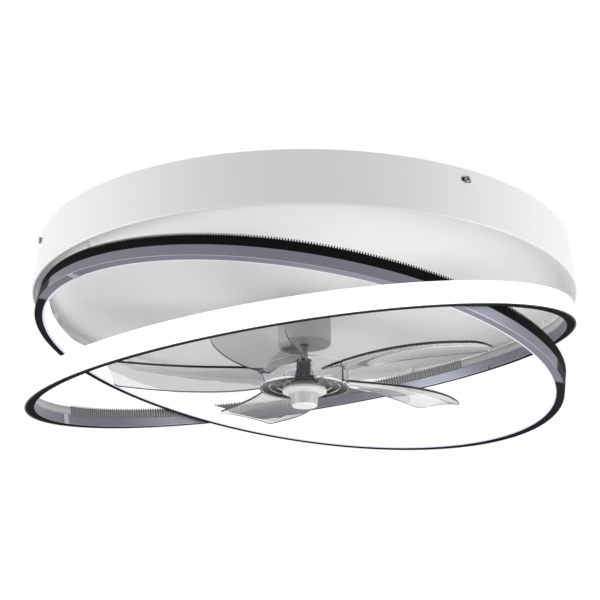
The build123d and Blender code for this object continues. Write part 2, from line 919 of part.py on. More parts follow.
def make_ring_1_joiner():
    """A plate under the joint of ring 1, across the bottom of its channel."""
    half = ring_height / 2
    mouth = ring_width - diffuser_thickness - snap_clearance
    foot = -half - joiner_thickness
    points = [(0, foot), (mouth, foot), (mouth, -half), (0, -half)]
    return ring_turned(ring_1, points, joiner_arc(ring_1), ring_1_joiner_angle)


def make_ring_2_joiner():
    """A plate over the joint of ring 2, on the back of its lower wall."""
    half = ring_height / 2
    inner = -snap_clearance
    outer = inner - joiner_thickness
    points = [(outer, -half), (inner, -half), (inner, ring_step_height), (outer, ring_step_height)]
    return ring_turned(ring_2, points, joiner_arc(ring_2), ring_2_joiner_angle)


def ring_post_places(ring):
    """Where a ring's posts stand, each with the height of the dish over it."""
    plane, back_radius, facing = ring
    radius = back_radius + facing * (ring_recess + post_seat + post_radius)
    places = []
    for angle in post_angles:
        turn = math.radians(angle)
        spot = plane.from_local_coords((radius * math.cos(turn), radius * math.sin(turn), ring_height / 2))
        reach = math.hypot(spot.X, spot.Y)
        outward = math.degrees(math.atan2(spot.Y, spot.X))
        places.append((Pos(spot.X, spot.Y, 0) * around(outward), dish_z(reach + post_radius)))
    return places


def post_places():
    return ring_post_places(ring_1) + ring_post_places(ring_2)


def above_ring(ring):
    """Everything over a ring's top flange."""
    plane = ring[0]
    size = 2 * casing_radius + 2 * overrun
    seat = (Align.CENTER, Align.CENTER, Align.MIN)
    return plane * Pos(0, 0, ring_height / 2) * Box(size, size, casing_radius, align=seat)


def make_ring_posts(ring):
    posts = []
    for place, top in ring_post_places(ring):
        post = place * tube(post_radius, post_screw_radius + fit_clearance, lip_z - ring_height, top)
        posts.append(post & above_ring(ring))
    return posts


def make_ring_screws(ring):
    """Screws that go down through the dish and a post into the ring's top flange."""
    plane = ring[0]
    pieces = []
    for place, top in ring_post_places(ring):
        spot = place.position
        head_z = dish_z(math.hypot(spot.X, spot.Y) - post_head_radius) + sheet + fit_clearance
        slope = plane.z_dir
        away = spot - plane.origin
        drop = (slope.X * away.X + slope.Y * away.Y) / slope.Z
        flange_z = plane.origin.Z - drop + ring_height / 2 / slope.Z
        foot = flange_z - ring_wall - post_screw_spare
        shank = disc(post_screw_radius, foot, head_z + post_head_height / 2)
        head = disc(post_head_radius, head_z, head_z + post_head_height)
        pieces.append(place * (head + shank))
    return pieces


# Rivets where the rings cross
def rivet_axes():
    """The places where the two lower walls touch, each with its Z axis pointing outwards."""
    normal_1 = plane_1.z_dir
    normal_2 = plane_2.z_dir
    line = normal_1.cross(normal_2)
    level_1 = normal_1.dot(plane_1.origin) - rivet_drop
    level_2 = normal_2.dot(plane_2.origin) - rivet_drop
    across_1 = normal_2.cross(line)
    across_2 = line.cross(normal_1)
    foot = (across_1 * level_1 + across_2 * level_2) * (1 / line.dot(line))
    centre = (plane_1.origin + plane_2.origin) / 2
    line = line.normalized()
    along = line.dot(centre - foot)
    near = foot + line * along
    radius = (ring_1_back_radius + ring_2_back_radius) / 2
    offset = near - centre
    aside = offset - (normal_1 + normal_2).normalized() * offset.dot((normal_1 + normal_2).normalized())
    reach = math.sqrt(radius ** 2 - aside.length ** 2)
    axes = []
    for way in (line * reach, line * -reach):
        spot = near + way
        axes.append(Plane(origin=spot, x_dir=normal_1, z_dir=(aside + way).normalized()).location)
    return axes


def make_crossing_rivets():
    grip = ring_gap / 2 + ring_wall + rivet_slack
    rivets = []
    for axis in rivet_axes():
        shank = Cylinder(rivet_radius, 2 * grip)
        outer_head = disc(rivet_head_radius, grip, grip + rivet_head_height)
        inner_head = disc(rivet_head_radius, -grip - rivet_head_height, -grip)
        rivets.append(axis * (shank + outer_head + inner_head))
    return rivets


# Electronics
def make_driver_case():
    foot = plate_z - driver_height
    case = block(driver_length, driver_width, foot, plate_z)
    inner_length = driver_length - 2 * driver_wall
    inner_width = driver_width - 2 * driver_wall
    hollow = block(inner_length, inner_width, foot - overrun, plate_z - driver_wall)
    uprights = case.edges().filter_by(Axis.Z)
    case = fillet(uprights, 2 * driver_wall) - hollow
    for side in (-1, 1):
        ear = Pos(side * driver_reach, 0, 0)
        case += ear * block(ear_length + driver_wall, driver_width / 2, plate_z - ear_thickness, plate_z)
        case -= ear * disc(ear_screw_radius + fit_clearance, plate_z - overrun, plate_z + overrun)
    return driver_place * case


def make_driver_lid():
    foot = plate_z - driver_height
    lid = block(driver_length, driver_width, foot - lid_thickness, foot)
    lid = fillet(lid.edges().filter_by(Axis.Z), 2 * driver_wall)
    spigot_length = driver_length - 2 * driver_wall - 2 * snap_clearance
    spigot_width = driver_width - 2 * driver_wall - 2 * snap_clearance
    spigot = block(spigot_length, spigot_width, foot, foot + lid_thickness)
    spigot -= block(
        spigot_length - 2 * lid_thickness,
        spigot_width - 2 * lid_thickness,
        foot - overrun,
        foot + overrun,
    )
    return driver_place * (lid + (spigot & block(driver_length, driver_width, foot, plate_z)))


def make_receiver_box():
    foot = plate_z - receiver_height
    box = block(receiver_length, receiver_width, foot, plate_z)
    box = fillet(box.edges().filter_by(Axis.Z), receiver_round)
    box = chamfer(box.faces().sort_by(Axis.Z)[0].edges(), receiver_round / 3)
    for side in (-1, 1):
        ear = Pos(side * receiver_reach, 0, 0)
        box += ear * block(ear_length + driver_wall, receiver_width / 2, plate_z - ear_thickness, plate_z)
        box -= ear * disc(ear_screw_radius + fit_clearance, plate_z - overrun, plate_z + overrun)
    return receiver_place * box


def make_terminal_block():
    foot = plate_z - terminal_height
    body = block(terminal_width, terminal_length, foot, plate_z)
    for side in (-1, 1):
        ear = Pos(0, side * terminal_reach, 0)
        body += ear * block(terminal_width / 2, 3 * terminal_foot, plate_z - ear_thickness, plate_z)
        body -= ear * disc(ear_screw_radius + fit_clearance, plate_z - overrun, plate_z + overrun)
    pitch = terminal_length / terminal_ways
    for number in range(terminal_ways):
        y = (number - (terminal_ways - 1) / 2) * pitch
        way = Rot(0, 90, 0) * Cylinder(terminal_way_radius, terminal_width + 2 * overrun)
        body -= Pos(0, y, (foot + plate_z) / 2) * way
    return Pos(terminal_x, 0, 0) * body


def make_box_screws():
    places = driver_ears + receiver_ears + terminal_screw_places
    head_z = plate_z - ear_thickness
    return screws(places, ear_screw_radius, -screw_end_gap, ear_head_radius, head_z, ear_head_height)


def save(name, shape):
    solids = shape if isinstance(shape, list) else [shape]
    parts = []
    for piece in solids:
        parts.extend(piece.solids())
    whole = parts[0] if len(parts) == 1 else Compound(children=parts)
    export_step(whole, "parts/" + name + ".step")


def main():
    os.makedirs("parts", exist_ok=True)
    save("ceiling_plate", make_ceiling_plate())
    save("cable_grommet", make_cable_grommet())
    save("casing", make_casing())
    save("side_screws", make_side_screws())
    save("side_nuts", make_side_nuts())
    save("motor_case", make_motor_case())
    save("motor_screws", make_motor_screws())
    save("end_shield", make_end_shield())
    save("shield_screws", make_shield_screws())
    save("upper_bearing", make_bearing(upper_bearing_z - bearing_width))
    save("lower_bearing", make_bearing(lower_bearing_z))
    save("stator_core", make_stator_core())
    save("stator_coils", make_stator_coils())
    save("rotor_core", make_rotor_core())
    save("rotor_magnets", make_rotor_magnets())
    save("rotor_clip", make_rotor_clip())
    save("shaft", make_shaft())
    save("drive_pin", make_drive_pin())
    save("hub_boss", make_hub_boss())
    save("impeller", make_impeller())
    save("lock_cap", make_lock_cap())
    save("canopy", make_canopy())
    save("canopy_screws", make_canopy_screws())
    for name, ring in (("ring_1", ring_1), ("ring_2", ring_2)):
        save(name + "_channel", make_ring_channel(ring))
        save(name + "_strip", make_ring_strip(ring))
        save(name + "_diffuser", make_ring_diffuser(ring))
        save(name + "_led_tape", make_ring_tape(ring))
        save(name + "_posts", make_ring_posts(ring))
        save(name + "_screws", make_ring_screws(ring))
    save("ring_1_joiner", make_ring_1_joiner())
    save("ring_2_joiner", make_ring_2_joiner())
    save("crossing_rivets", make_crossing_rivets())
    save("driver_case", make_driver_case())
    save("driver_lid", make_driver_lid())
    save("receiver_box", make_receiver_box())
    save("terminal_block", make_terminal_block())
    save("box_screws", make_box_screws())


main()
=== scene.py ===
import json
import math

import bmesh
import bpy
from mathutils import Matrix, Vector


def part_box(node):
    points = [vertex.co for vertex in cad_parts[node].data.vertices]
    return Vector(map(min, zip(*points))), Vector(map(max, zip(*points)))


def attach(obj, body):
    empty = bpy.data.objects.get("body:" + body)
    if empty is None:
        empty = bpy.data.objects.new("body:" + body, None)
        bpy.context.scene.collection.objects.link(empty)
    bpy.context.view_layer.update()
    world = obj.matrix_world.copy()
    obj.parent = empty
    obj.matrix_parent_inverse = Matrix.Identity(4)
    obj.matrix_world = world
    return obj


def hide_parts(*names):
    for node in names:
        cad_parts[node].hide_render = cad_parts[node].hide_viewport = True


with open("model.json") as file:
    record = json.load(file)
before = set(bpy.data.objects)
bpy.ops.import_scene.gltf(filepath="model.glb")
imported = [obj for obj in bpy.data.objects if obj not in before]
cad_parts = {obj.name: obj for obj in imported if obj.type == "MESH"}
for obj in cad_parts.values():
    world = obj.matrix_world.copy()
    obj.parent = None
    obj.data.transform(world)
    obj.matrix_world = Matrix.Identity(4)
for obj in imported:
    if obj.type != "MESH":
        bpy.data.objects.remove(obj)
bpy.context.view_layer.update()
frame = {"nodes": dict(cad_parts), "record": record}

# Flush ceiling fan with two crossed light rings. Metres, with the ceiling at z = 0 and the fan below it.

bl_info = {
    "name": "Ceiling fan with light rings",
    "version": (1, 0, 0),
    "blender": (4, 5, 0),
    "location": "View3D > Sidebar > Ceiling fan",
    "description": "Finishes and fine pieces of a flush ceiling fan with two crossed light rings",
    "category": "Object",
}

SLOT_COLOURS = {entry["slot"]: entry["base_color"][:3] for entry in frame["record"]["materials"]}
MM = 0.001
LIP_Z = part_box("casing")[0][2]
HUB_FOOT_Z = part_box("impeller")[0][2]
CAP_FOOT_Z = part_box("lock_cap")[0][2]

# Zones of painted light and shade: the depth over which a zone changes and, on the rings, the length over
# which grey turns to a painted dark reflection, how far the grey bottom runs past the grey wall, how deep
# from the ring's back the painted glow on the pale lip and, past its painted shade, the lit side of the
# diffuser start, how metallic the paint is, and a place past the ring
ZONE_DEPTH = 0.15 * MM
RING_ZONE_BLEND = 6.0 * MM
RING_BOTTOM_SHIFT = 30.0 * MM
RING_GLOW_DEPTH = 7.3 * MM
DIFFUSER_SHADE_DEPTH = 7.8 * MM
RING_METALLIC = 0.75
PAST_THE_RING = 900.0 * MM

# Height of the canopy's paler bottom band, and the painted shade of canopy and lock cap above their foot, as
# shares of the shade at their foot
CANOPY_LIT_BAND = 0.4 * MM
CANOPY_SIDE_SHADE = 0.78
CAP_BODY_SHADE = 0.62
CAP_FLANGE_SHADE = 0.86

# Index of refraction of the clear plastics, and their order on the moulding
BLADE_INDEX = 1.3
HUB_INDEX = 1.12
# Edge faces and the hub's floor get dark tints, painted shade on the clear moulding
BLADE, EDGE, HUB_WALL, HUB_FLOOR = range(4)

WHITE = (1.0, 1.0, 1.0)
BLACK = (0.0, 0.0, 0.0)

# Scale and detail of the noise in the finishes, and the slow noise's share of the shade
SLOW_SCALE = 9.0
MIDDLE_SCALE = 60.0
METAL_SLOW_SCALE = 25.0
SLOW_DETAIL = 3.0
MIDDLE_DETAIL = 4.0
FINE_DETAIL = 2.0
SLOW_SHARE = 0.7

# Steps of the turned shapes, width of a rib's tip as a share of the rib, and the limits that tell a crease, a
# level face and the foot of the hub's floor
BAND_STEPS = 360
CAP_SEGMENTS = 4
CAP_STEPS = 96
FLOOR_SEGMENTS = 96
TIP_SHARE = 0.65
RIB_SLOT = 1
SHARP_ANGLE = math.radians(30.0)
LEVEL_SHARE = 0.5
FLOOR_FOOT_SHARE = 0.25

# Glow that lifts the seen floor, width of the camera's sensor in millimetres, and the lamps: place, the point
# that they shine at, size, and the name of their power in the stage settings
FLOOR_LIFT = 0.45
SENSOR_WIDTH = 36.0
LAMPS = {
    "left_lamp": ((-1.9, -0.7, -0.3), (0, 0, LIP_Z), 1.2, "side_power"),
    "right_lamp": ((1.9, -0.7, -0.3), (0, 0, LIP_Z), 1.2, "side_power"),
    "low_lamp": ((0, -0.9, -1.8), (0, 0, LIP_Z), 1.6, "low_power"),
    "rim_lamp": ((0.06, -0.12, -0.36), (0.1, -0.3, LIP_Z), 0.3, "rim_power"),
}

# Finishes of the pieces that carry, fasten and drive, by their slot in the record
PLAIN_FINISHES = {
    "zinc_steel": dict(
        name="zinc_plated_sheet", roughness=0.38, scale=240.0, bump=0.04 * MM, metallic=0.9,
        shade_change=0.22, gloss_change=0.5,
    ),
    "rubber": dict(name="black_rubber", roughness=0.75, scale=1500.0, bump=0.08 * MM, shade_change=0.2),
    "screw_steel": dict(
        name="nickel_plating", roughness=0.22, scale=1400.0, bump=0.03 * MM, metallic=1.0, shade_change=0.1
    ),
    "shaft_steel": dict(
        name="ground_steel", roughness=0.24, scale=2600.0, bump=0.03 * MM, metallic=1.0, shade_change=0.2,
        turned=True,
    ),
    "motor_aluminium": dict(
        name="turned_aluminium", roughness=0.34, scale=1800.0, bump=0.04 * MM, metallic=1.0,
        shade_change=0.15, turned=True,
    ),
    "core_steel": dict(
        name="stacked_laminations", roughness=0.5, scale=3200.0, bump=0.12 * MM, metallic=0.8,
        shade_change=0.5, turned=True,
    ),
    "magnet": dict(
        name="coated_ferrite", roughness=0.55, scale=1800.0, bump=0.05 * MM, metallic=0.1, shade_change=0.2
    ),
    "copper": dict(
        name="enamelled_copper", roughness=0.3, scale=1300.0, bump=0.2 * MM, metallic=0.9, shade_change=0.5,
        turned=True,
    ),
    "dark_plastic": dict(
        name="dark_moulded_plastic", roughness=0.45, scale=1600.0, bump=0.04 * MM, shade_change=0.25
    ),
    "box_plastic": dict(name="pale_moulded_plastic", roughness=0.5, scale=1500.0, bump=0.06 * MM),
    "led_tape": dict(name="light_tape_lacquer", roughness=0.4, scale=900.0, bump=0.03 * MM),
    "joiner_metal": dict(
        name="plain_joint_plate", roughness=0.3, scale=1200.0, bump=0.02 * MM, metallic=0.85,
        shade_change=0.08,
    ),
}


def record_colour(slot):
    """The colour that the record gives a finish."""
    return tuple(SLOT_COLOURS[slot])


class FanSizes(bpy.types.PropertyGroup):
    """Sizes of the fine pieces that the finishes add to the fan."""

    ring_height: bpy.props.FloatProperty(
        name="Ring height", description="Height of a ring's section", default=18.6 * MM, unit="LENGTH"
    )
    rib_share: bpy.props.FloatProperty(
        name="Rib share", description="Part of the way from one rib to the next that the rib takes",
        default=0.56, min=0, max=1, subtype="FACTOR",
    )
    rib_depth: bpy.props.FloatProperty(
        name="Rib depth", description="How far a rib stands out of its strip", default=0.6 * MM, unit="LENGTH"
    )
    strip_thickness: bpy.props.FloatProperty(
        name="Strip thickness", description="Thickness of a strip with its ribs", default=1.0 * MM,
        unit="LENGTH",
    )
    strip_inset: bpy.props.FloatProperty(
        name="Strip inset", description="How far the ribs lie under the ring's back", default=0.2 * MM,
        unit="LENGTH",
    )
    strip_foot: bpy.props.FloatProperty(
        name="Strip foot", description="Height of the strip's foot over the middle of the section",
        default=0.3 * MM, unit="LENGTH",
    )
    tip_rise: bpy.props.FloatProperty(
        name="Tip rise", description="How far the pointed rib tips rise over the ring's top edge",
        default=1.2 * MM, unit="LENGTH",
    )
    tip_root: bpy.props.FloatProperty(
        name="Tip root", description="How far under the ring's top edge the rib tips start", default=0.6 * MM,
        unit="LENGTH",
    )
    # Height of the painted highlight along a ring's lower edge
    ring_edge_highlight: bpy.props.FloatProperty(
        name="Ring edge", description="Height of the bright edge over a ring's bottom face", default=0.6 * MM,
        unit="LENGTH",
    )
    hub_radius: bpy.props.FloatProperty(
        name="Hub radius", description="Radius inside which the clear moulding is hub", default=43.4 * MM,
        unit="LENGTH",
    )
    hub_height: bpy.props.FloatProperty(
        name="Hub height", description="Height of the hub's wall", default=21.8 * MM, unit="LENGTH"
    )
    hub_floor_top: bpy.props.FloatProperty(
        name="Hub floor", description="Height of the top of the hub's floor over its foot", default=7.9 * MM,
        unit="LENGTH",
    )
    hub_wall: bpy.props.FloatProperty(
        name="Hub wall", description="Thickness of the hub's wall", default=2.0 * MM, unit="LENGTH"
    )
    hub_floor_slope: bpy.props.FloatProperty(
        name="Hub floor slope", description="How far the hub's floor falls from the cap to the wall",
        default=5.6 * MM, unit="LENGTH",
    )
    weld: bpy.props.FloatProperty(
        name="Weld distance", description="Distance under which points of a copied shell are joined",
        default=0.01 * MM, unit="LENGTH",
    )
    cap_neck_radius: bpy.props.FloatProperty(
        name="Cap neck radius", description="Radius of the lock cap's neck", default=12.4 * MM, unit="LENGTH"
    )
    cap_flange_radius: bpy.props.FloatProperty(
        name="Cap flange radius", description="Radius of the lock cap's flange", default=21.2 * MM,
        unit="LENGTH",
    )
    cap_step_radius: bpy.props.FloatProperty(
        name="Cap step radius", description="Radius of the step under the flange", default=15.4 * MM,
        unit="LENGTH",
    )
    cap_body_radius: bpy.props.FloatProperty(
        name="Cap body radius", description="Radius of the lock cap's body under the step", default=13.1 * MM,
        unit="LENGTH",
    )
    cap_foot_radius: bpy.props.FloatProperty(
        name="Cap foot radius", description="Radius of the lock cap's body at its foot", default=12.0 * MM,
        unit="LENGTH",
    )
    cap_body_height: bpy.props.FloatProperty(
        name="Cap body height", description="Height of the lock cap's body", default=10.9 * MM, unit="LENGTH"
    )
    cap_step_height: bpy.props.FloatProperty(
        name="Cap step height", description="Height of the step under the flange", default=2.4 * MM,
        unit="LENGTH",
    )
    cap_flange_height: bpy.props.FloatProperty(
        name="Cap flange height", description="Height of the lock cap's flange", default=4.6 * MM,
        unit="LENGTH",
    )
    cap_bore_radius: bpy.props.FloatProperty(
        name="Cap bore", description="Radius of the bore for the shaft", default=4.2 * MM, unit="LENGTH"
    )
    cap_skin: bpy.props.FloatProperty(
        name="Cap foot thickness", description="Plastic under the shaft's end", default=3.2 * MM,
        unit="LENGTH",
    )
    cap_round: bpy.props.FloatProperty(
        name="Cap rounding", description="Rounding of the flange's corners", default=1.5 * MM, unit="LENGTH"
    )
    cap_foot_round: bpy.props.FloatProperty(
        name="Cap foot rounding", description="Rounding of the lock cap's foot", default=1.1 * MM,
        unit="LENGTH",
    )


class FanColours(bpy.types.PropertyGroup):
    """Colours of the fan's finishes."""

    paint: bpy.props.FloatVectorProperty(
        name="Casing paint", description="White powder coat of the casing",
        default=record_colour("casing_paint"), subtype="COLOR", min=0, max=1,
    )
    ring_metal: bpy.props.FloatVectorProperty(
        name="Ring metal", description="Grey painted profile of both rings", default=(0.185, 0.19, 0.225),
        subtype="COLOR", min=0, max=1,
    )
    # Painted light: the grey part's bottom face is painted paler than the wall
    ring_bottom_lit: bpy.props.FloatVectorProperty(
        name="Ring bottom", description="Bottom face of the rings' grey part", default=(0.21, 0.215, 0.26),
        subtype="COLOR", min=0, max=1,
    )
    # Painted dark reflection: near black painted on the rings' far wall and bottom
    ring_dark_reflection: bpy.props.FloatVectorProperty(
        name="Ring underside", description="Near black of the rings' dark parts",
        default=(0.026, 0.026, 0.028), subtype="COLOR", min=0, max=1,
    )
    # Painted highlight along the edge between a ring's wall and its bottom face
    ring_edge_highlight: bpy.props.FloatVectorProperty(
        name="Ring edge", description="Bright edge between a ring's wall and its bottom face",
        default=(0.46, 0.47, 0.52), subtype="COLOR", min=0, max=1,
    )
    # Painted glow: pale lilac light painted on the bottom face's inner lip beside the diffuser
    ring_lip_glow: bpy.props.FloatVectorProperty(
        name="Ring lip", description="Pale inner lip of a ring's bottom face, beside the diffuser",
        default=(0.6, 0.6, 0.7), subtype="COLOR", min=0, max=1,
    )
    strip: bpy.props.FloatVectorProperty(
        name="Strip", description="Black ribbed insert", default=(0.008, 0.008, 0.008), subtype="COLOR",
        min=0, max=1,
    )
    # Painted reflection: the larger ring's black strip is painted pale behind its ribs and grey on them
    strip_gap_reflection: bpy.props.FloatVectorProperty(
        name="Strip gaps", description="Pale band behind the ribs", default=(0.5, 0.505, 0.51),
        subtype="COLOR", min=0, max=1,
    )
    strip_ribs_reflection: bpy.props.FloatVectorProperty(
        name="Strip ribs", description="Darker ribs of the larger ring's insert", default=(0.17, 0.17, 0.175),
        subtype="COLOR", min=0, max=1,
    )
    diffuser: bpy.props.FloatVectorProperty(
        name="Diffuser", description="Opal white of the light diffusers", default=(0.9, 0.9, 0.9),
        subtype="COLOR", min=0, max=1,
    )
    # Painted shade on the diffusers' lower edge, which also glows less
    diffuser_edge_shade: bpy.props.FloatVectorProperty(
        name="Diffuser edge", description="Lower edge of the diffusers", default=(0.5, 0.5, 0.58),
        subtype="COLOR", min=0, max=1,
    )
    blade: bpy.props.FloatVectorProperty(
        name="Blades", description="Smoke tint of the clear blades", default=(0.6, 0.6, 0.61),
        subtype="COLOR", min=0, max=1,
    )
    # Painted shade: a near-black tint on the moulding's edge faces for their dark outlines
    blade_edge_shade: bpy.props.FloatVectorProperty(
        name="Blade edges", description="Dark look of the clear moulding's edges",
        default=(0.04, 0.04, 0.045), subtype="COLOR", min=0, max=1,
    )
    hub: bpy.props.FloatVectorProperty(
        name="Hub", description="Nearly clear wall of the hub", default=(0.93, 0.93, 0.94), subtype="COLOR",
        min=0, max=1,
    )
    # Painted shade: near-black tint on the hub's floor inside the clear moulding
    hub_floor: bpy.props.FloatVectorProperty(
        name="Hub floor", description="Dark smoke tint of the hub's floor", default=(0.025, 0.025, 0.028),
        subtype="COLOR", min=0, max=1,
    )
    cap: bpy.props.FloatVectorProperty(
        name="Lock cap", description="White plastic of the lock cap", default=(0.82, 0.82, 0.82),
        subtype="COLOR", min=0, max=1,
    )
    canopy: bpy.props.FloatVectorProperty(
        name="Canopy", description="Grey coat of the neck cover", default=(0.42, 0.42, 0.42), subtype="COLOR",
        min=0, max=1,
    )
    shaft: bpy.props.FloatVectorProperty(
        name="Shaft", description="Dull steel of the shaft and its pin", default=(0.2, 0.2, 0.21),
        subtype="COLOR", min=0, max=1,
    )
    side_screws: bpy.props.FloatVectorProperty(
        name="Side screws", description="Dark nickel of the screws in the casing's wall",
        default=(0.22, 0.22, 0.23), subtype="COLOR", min=0, max=1,
    )


class StageSettings(bpy.types.PropertyGroup):
    """Floor, light and camera."""

    floor_z: bpy.props.FloatProperty(
        name="Floor height", description="Height of the room's floor, seen from the ceiling", default=-2.4,
        unit="LENGTH",
    )
    floor_radius: bpy.props.FloatProperty(
        name="Floor radius", description="Radius of the floor", default=7.0, unit="LENGTH"
    )
    floor_colour: bpy.props.FloatVectorProperty(
        name="Floor colour", description="Pale colour of the floor", default=(0.82, 0.82, 0.82),
        subtype="COLOR", min=0, max=1,
    )
    sky_level: bpy.props.FloatProperty(
        name="Sky level", description="Strength of the even light from all sides", default=0.40, min=0
    )
    side_power: bpy.props.FloatProperty(
        name="Side lamps", description="Power of each side lamp", default=22.5, min=0, subtype="POWER"
    )
    low_power: bpy.props.FloatProperty(
        name="Low lamp", description="Power of the lamp below the fan", default=3.5, min=0, subtype="POWER"
    )
    rim_power: bpy.props.FloatProperty(
        name="Rim lamp", description="Power of the lamp under the near rim", default=0.45, min=0,
        subtype="POWER",
    )
    camera_back: bpy.props.FloatProperty(
        name="Camera distance", description="How far the camera stands in front of the axis", default=1.0799,
        unit="LENGTH",
    )
    camera_drop: bpy.props.FloatProperty(
        name="Camera drop", description="How far the camera stands under the ceiling", default=0.4137,
        unit="LENGTH",
    )
    camera_pitch: bpy.props.FloatProperty(
        name="Camera pitch", description="How far the camera looks up", default=math.radians(19.25),
        subtype="ANGLE",
    )
    camera_lens: bpy.props.FloatProperty(
        name="Lens", description="Focal length in millimetres", default=70.08, min=1
    )
    camera_shift: bpy.props.FloatProperty(
        name="Shift", description="Sideways shift of the picture", default=-0.0076
    )


# Places of the rings: lean, way of the high side, centre and radius of the back, the side that it faces, the
# stretch of the ring that has ribs and their pitch, the way of its grey near part, how far from the middle
# that part starts, how dark its wall is painted elsewhere as a dark reflection, how much paler its metal is
# painted as light, and the painted shade and height of the diffuser's foot. Past its grey near part a ring's
# bottom is painted as a dark reflection, and a grey part that starts past the ring leaves the bottom painted
# dark all round.
RINGS = {
    "ring_1": {
        "tilt": math.radians(9.4), "high_side": math.radians(-160.6),
        "centre": (-6.4 * MM, -1.7 * MM, LIP_Z - 50.5 * MM), "back_radius": 251.4 * MM, "facing": -1,
        "ribs": (0.0, math.radians(360.0)), "grey_way": math.radians(72.8), "grey_from": 118.6 * MM,
        "dark_reflection_wall": 0.9, "rib_pitch": 2.23 * MM, "metal_painted_light": 1.0, "painted_foot_shade": 1.0,
        "painted_foot_height": 1.0 * MM,
    },
    "ring_2": {
        "tilt": math.radians(10.85), "high_side": math.radians(35.2),
        "centre": (-3.1 * MM, 0.0, LIP_Z - 54.7 * MM), "back_radius": 252.1 * MM, "facing": 1,
        "ribs": (math.radians(9.0), math.radians(125.0)), "grey_way": 0.0, "grey_from": PAST_THE_RING,
        "dark_reflection_wall": 0.0, "rib_pitch": 3.2 * MM, "metal_painted_light": 1.3, "painted_foot_shade": 0.03,
        "painted_foot_height": 0.1 * MM,
    },
}


def ring_matrix(ring):
    """The place of a ring: X points uphill and Z is the ring's leaning axis."""
    lean, way = ring["tilt"], ring["high_side"]
    uphill = Vector((math.cos(lean) * math.cos(way), math.cos(lean) * math.sin(way), math.sin(lean)))
    normal = Vector((-math.sin(lean) * math.cos(way), -math.sin(lean) * math.sin(way), math.cos(lean)))
    turned = Matrix((uphill, normal.cross(uphill), normal)).transposed().to_4x4()
    return Matrix.Translation(ring["centre"]) @ turned


# Meshes
def mesh_object(name, mesh_data, materials):
    """Make an object from a bmesh, with its materials."""
    mesh = bpy.data.meshes.new(name)
    mesh_data.to_mesh(mesh)
    mesh_data.free()
    for material in materials:
        mesh.materials.append(material)
    made = bpy.data.objects.new(name, mesh)
    bpy.context.scene.collection.objects.link(made)
    return made


def finish_mesh(name, mesh_data, body, materials):
    """Make a piece from a bmesh and let it ride on a body."""
    piece = mesh_object(name, mesh_data, materials)
    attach(piece, body)
    return piece


def smooth_with_creases(mesh_data):
    """Shade a mesh smooth, but leave its sharp edges sharp."""
    for face in mesh_data.faces:
        face.smooth = True
    for edge in mesh_data.edges:
        edge.smooth = not (edge.is_manifold and edge.calc_face_angle() > SHARP_ANGLE)


# Node groups
def link_group(name, inputs, outputs):
    """An empty shader node group with its input and output nodes."""
    group = bpy.data.node_groups.new(name, "ShaderNodeTree")
    for label, kind, default in inputs:
        socket = group.interface.new_socket(label, in_out="INPUT", socket_type=kind)
        socket.default_value = default
    for label, kind in outputs:
        group.interface.new_socket(label, in_out="OUTPUT", socket_type=kind)
    return group, group.nodes.new("NodeGroupInput"), group.nodes.new("NodeGroupOutput")


def feed(tree, value, socket):
    """Link a socket to another one, or set it to a value."""
    if isinstance(value, bpy.types.NodeSocket):
        tree.links.new(value, socket)
    else:
        socket.default_value = value


def math_node(tree, operation, first, second):
    """A Math node whose two inputs are sockets or numbers."""
    node = tree.nodes.new("ShaderNodeMath")
    node.operation = operation
    feed(tree, first, node.inputs[0])
    feed(tree, second, node.inputs[1])
    return node.outputs["Value"]


def shade(tree, colour, factor):
    """A colour socket made lighter or darker by a factor."""
    node = tree.nodes.new("ShaderNodeVectorMath")
    node.operation = "SCALE"
    tree.links.new(colour, node.inputs["Vector"])
    tree.links.new(factor, node.inputs["Scale"])
    return node.outputs["Vector"]


def noise(tree, coordinates, scale, detail):
    """A noise texture whose scale is a socket or a number."""
    node = tree.nodes.new("ShaderNodeTexNoise")
    node.inputs["Detail"].default_value = detail
    tree.links.new(coordinates, node.inputs["Vector"])
    feed(tree, scale, node.inputs["Scale"])
    return node.outputs["Fac"]


def flat_radius(tree, parts):
    """Distance from the Z axis, from the parts of a place."""
    flat = tree.nodes.new("ShaderNodeCombineXYZ")
    tree.links.new(parts.outputs["X"], flat.inputs["X"])
    tree.links.new(parts.outputs["Y"], flat.inputs["Y"])
    length = tree.nodes.new("ShaderNodeVectorMath")
    length.operation = "LENGTH"
    tree.links.new(flat.outputs["Vector"], length.inputs[0])
    return length.outputs["Value"]


def ramp(tree, value, start, end):
    """A mask that goes from nought at start to one at end, which are sockets or numbers."""
    node = tree.nodes.new("ShaderNodeMapRange")
    tree.links.new(value, node.inputs["Value"])
    feed(tree, start, node.inputs["From Min"])
    feed(tree, end, node.inputs["From Max"])
    return node.outputs["Result"]


def mix_colour(tree, factor, first, second):
    """A colour that goes from the first to the second, which are sockets or colours."""
    node = tree.nodes.new("ShaderNodeMix")
    node.data_type = "RGBA"
    sockets = {socket.identifier: socket for socket in node.inputs}
    tree.links.new(factor, sockets["Factor_Float"])
    for label, colour in (("A_Color", first), ("B_Color", second)):
        linked = isinstance(colour, bpy.types.NodeSocket)
        feed(tree, colour if linked else (*colour, 1), sockets[label])
    return next(socket for socket in node.outputs if socket.identifier == "Result_Color")


def around_one(tree, factor, amount):
    """Turn a noise value into a factor that swings round one by an amount."""
    centred = math_node(tree, "SUBTRACT", factor, 0.5)
    return math_node(tree, "ADD", math_node(tree, "MULTIPLY", centred, amount), 1.0)


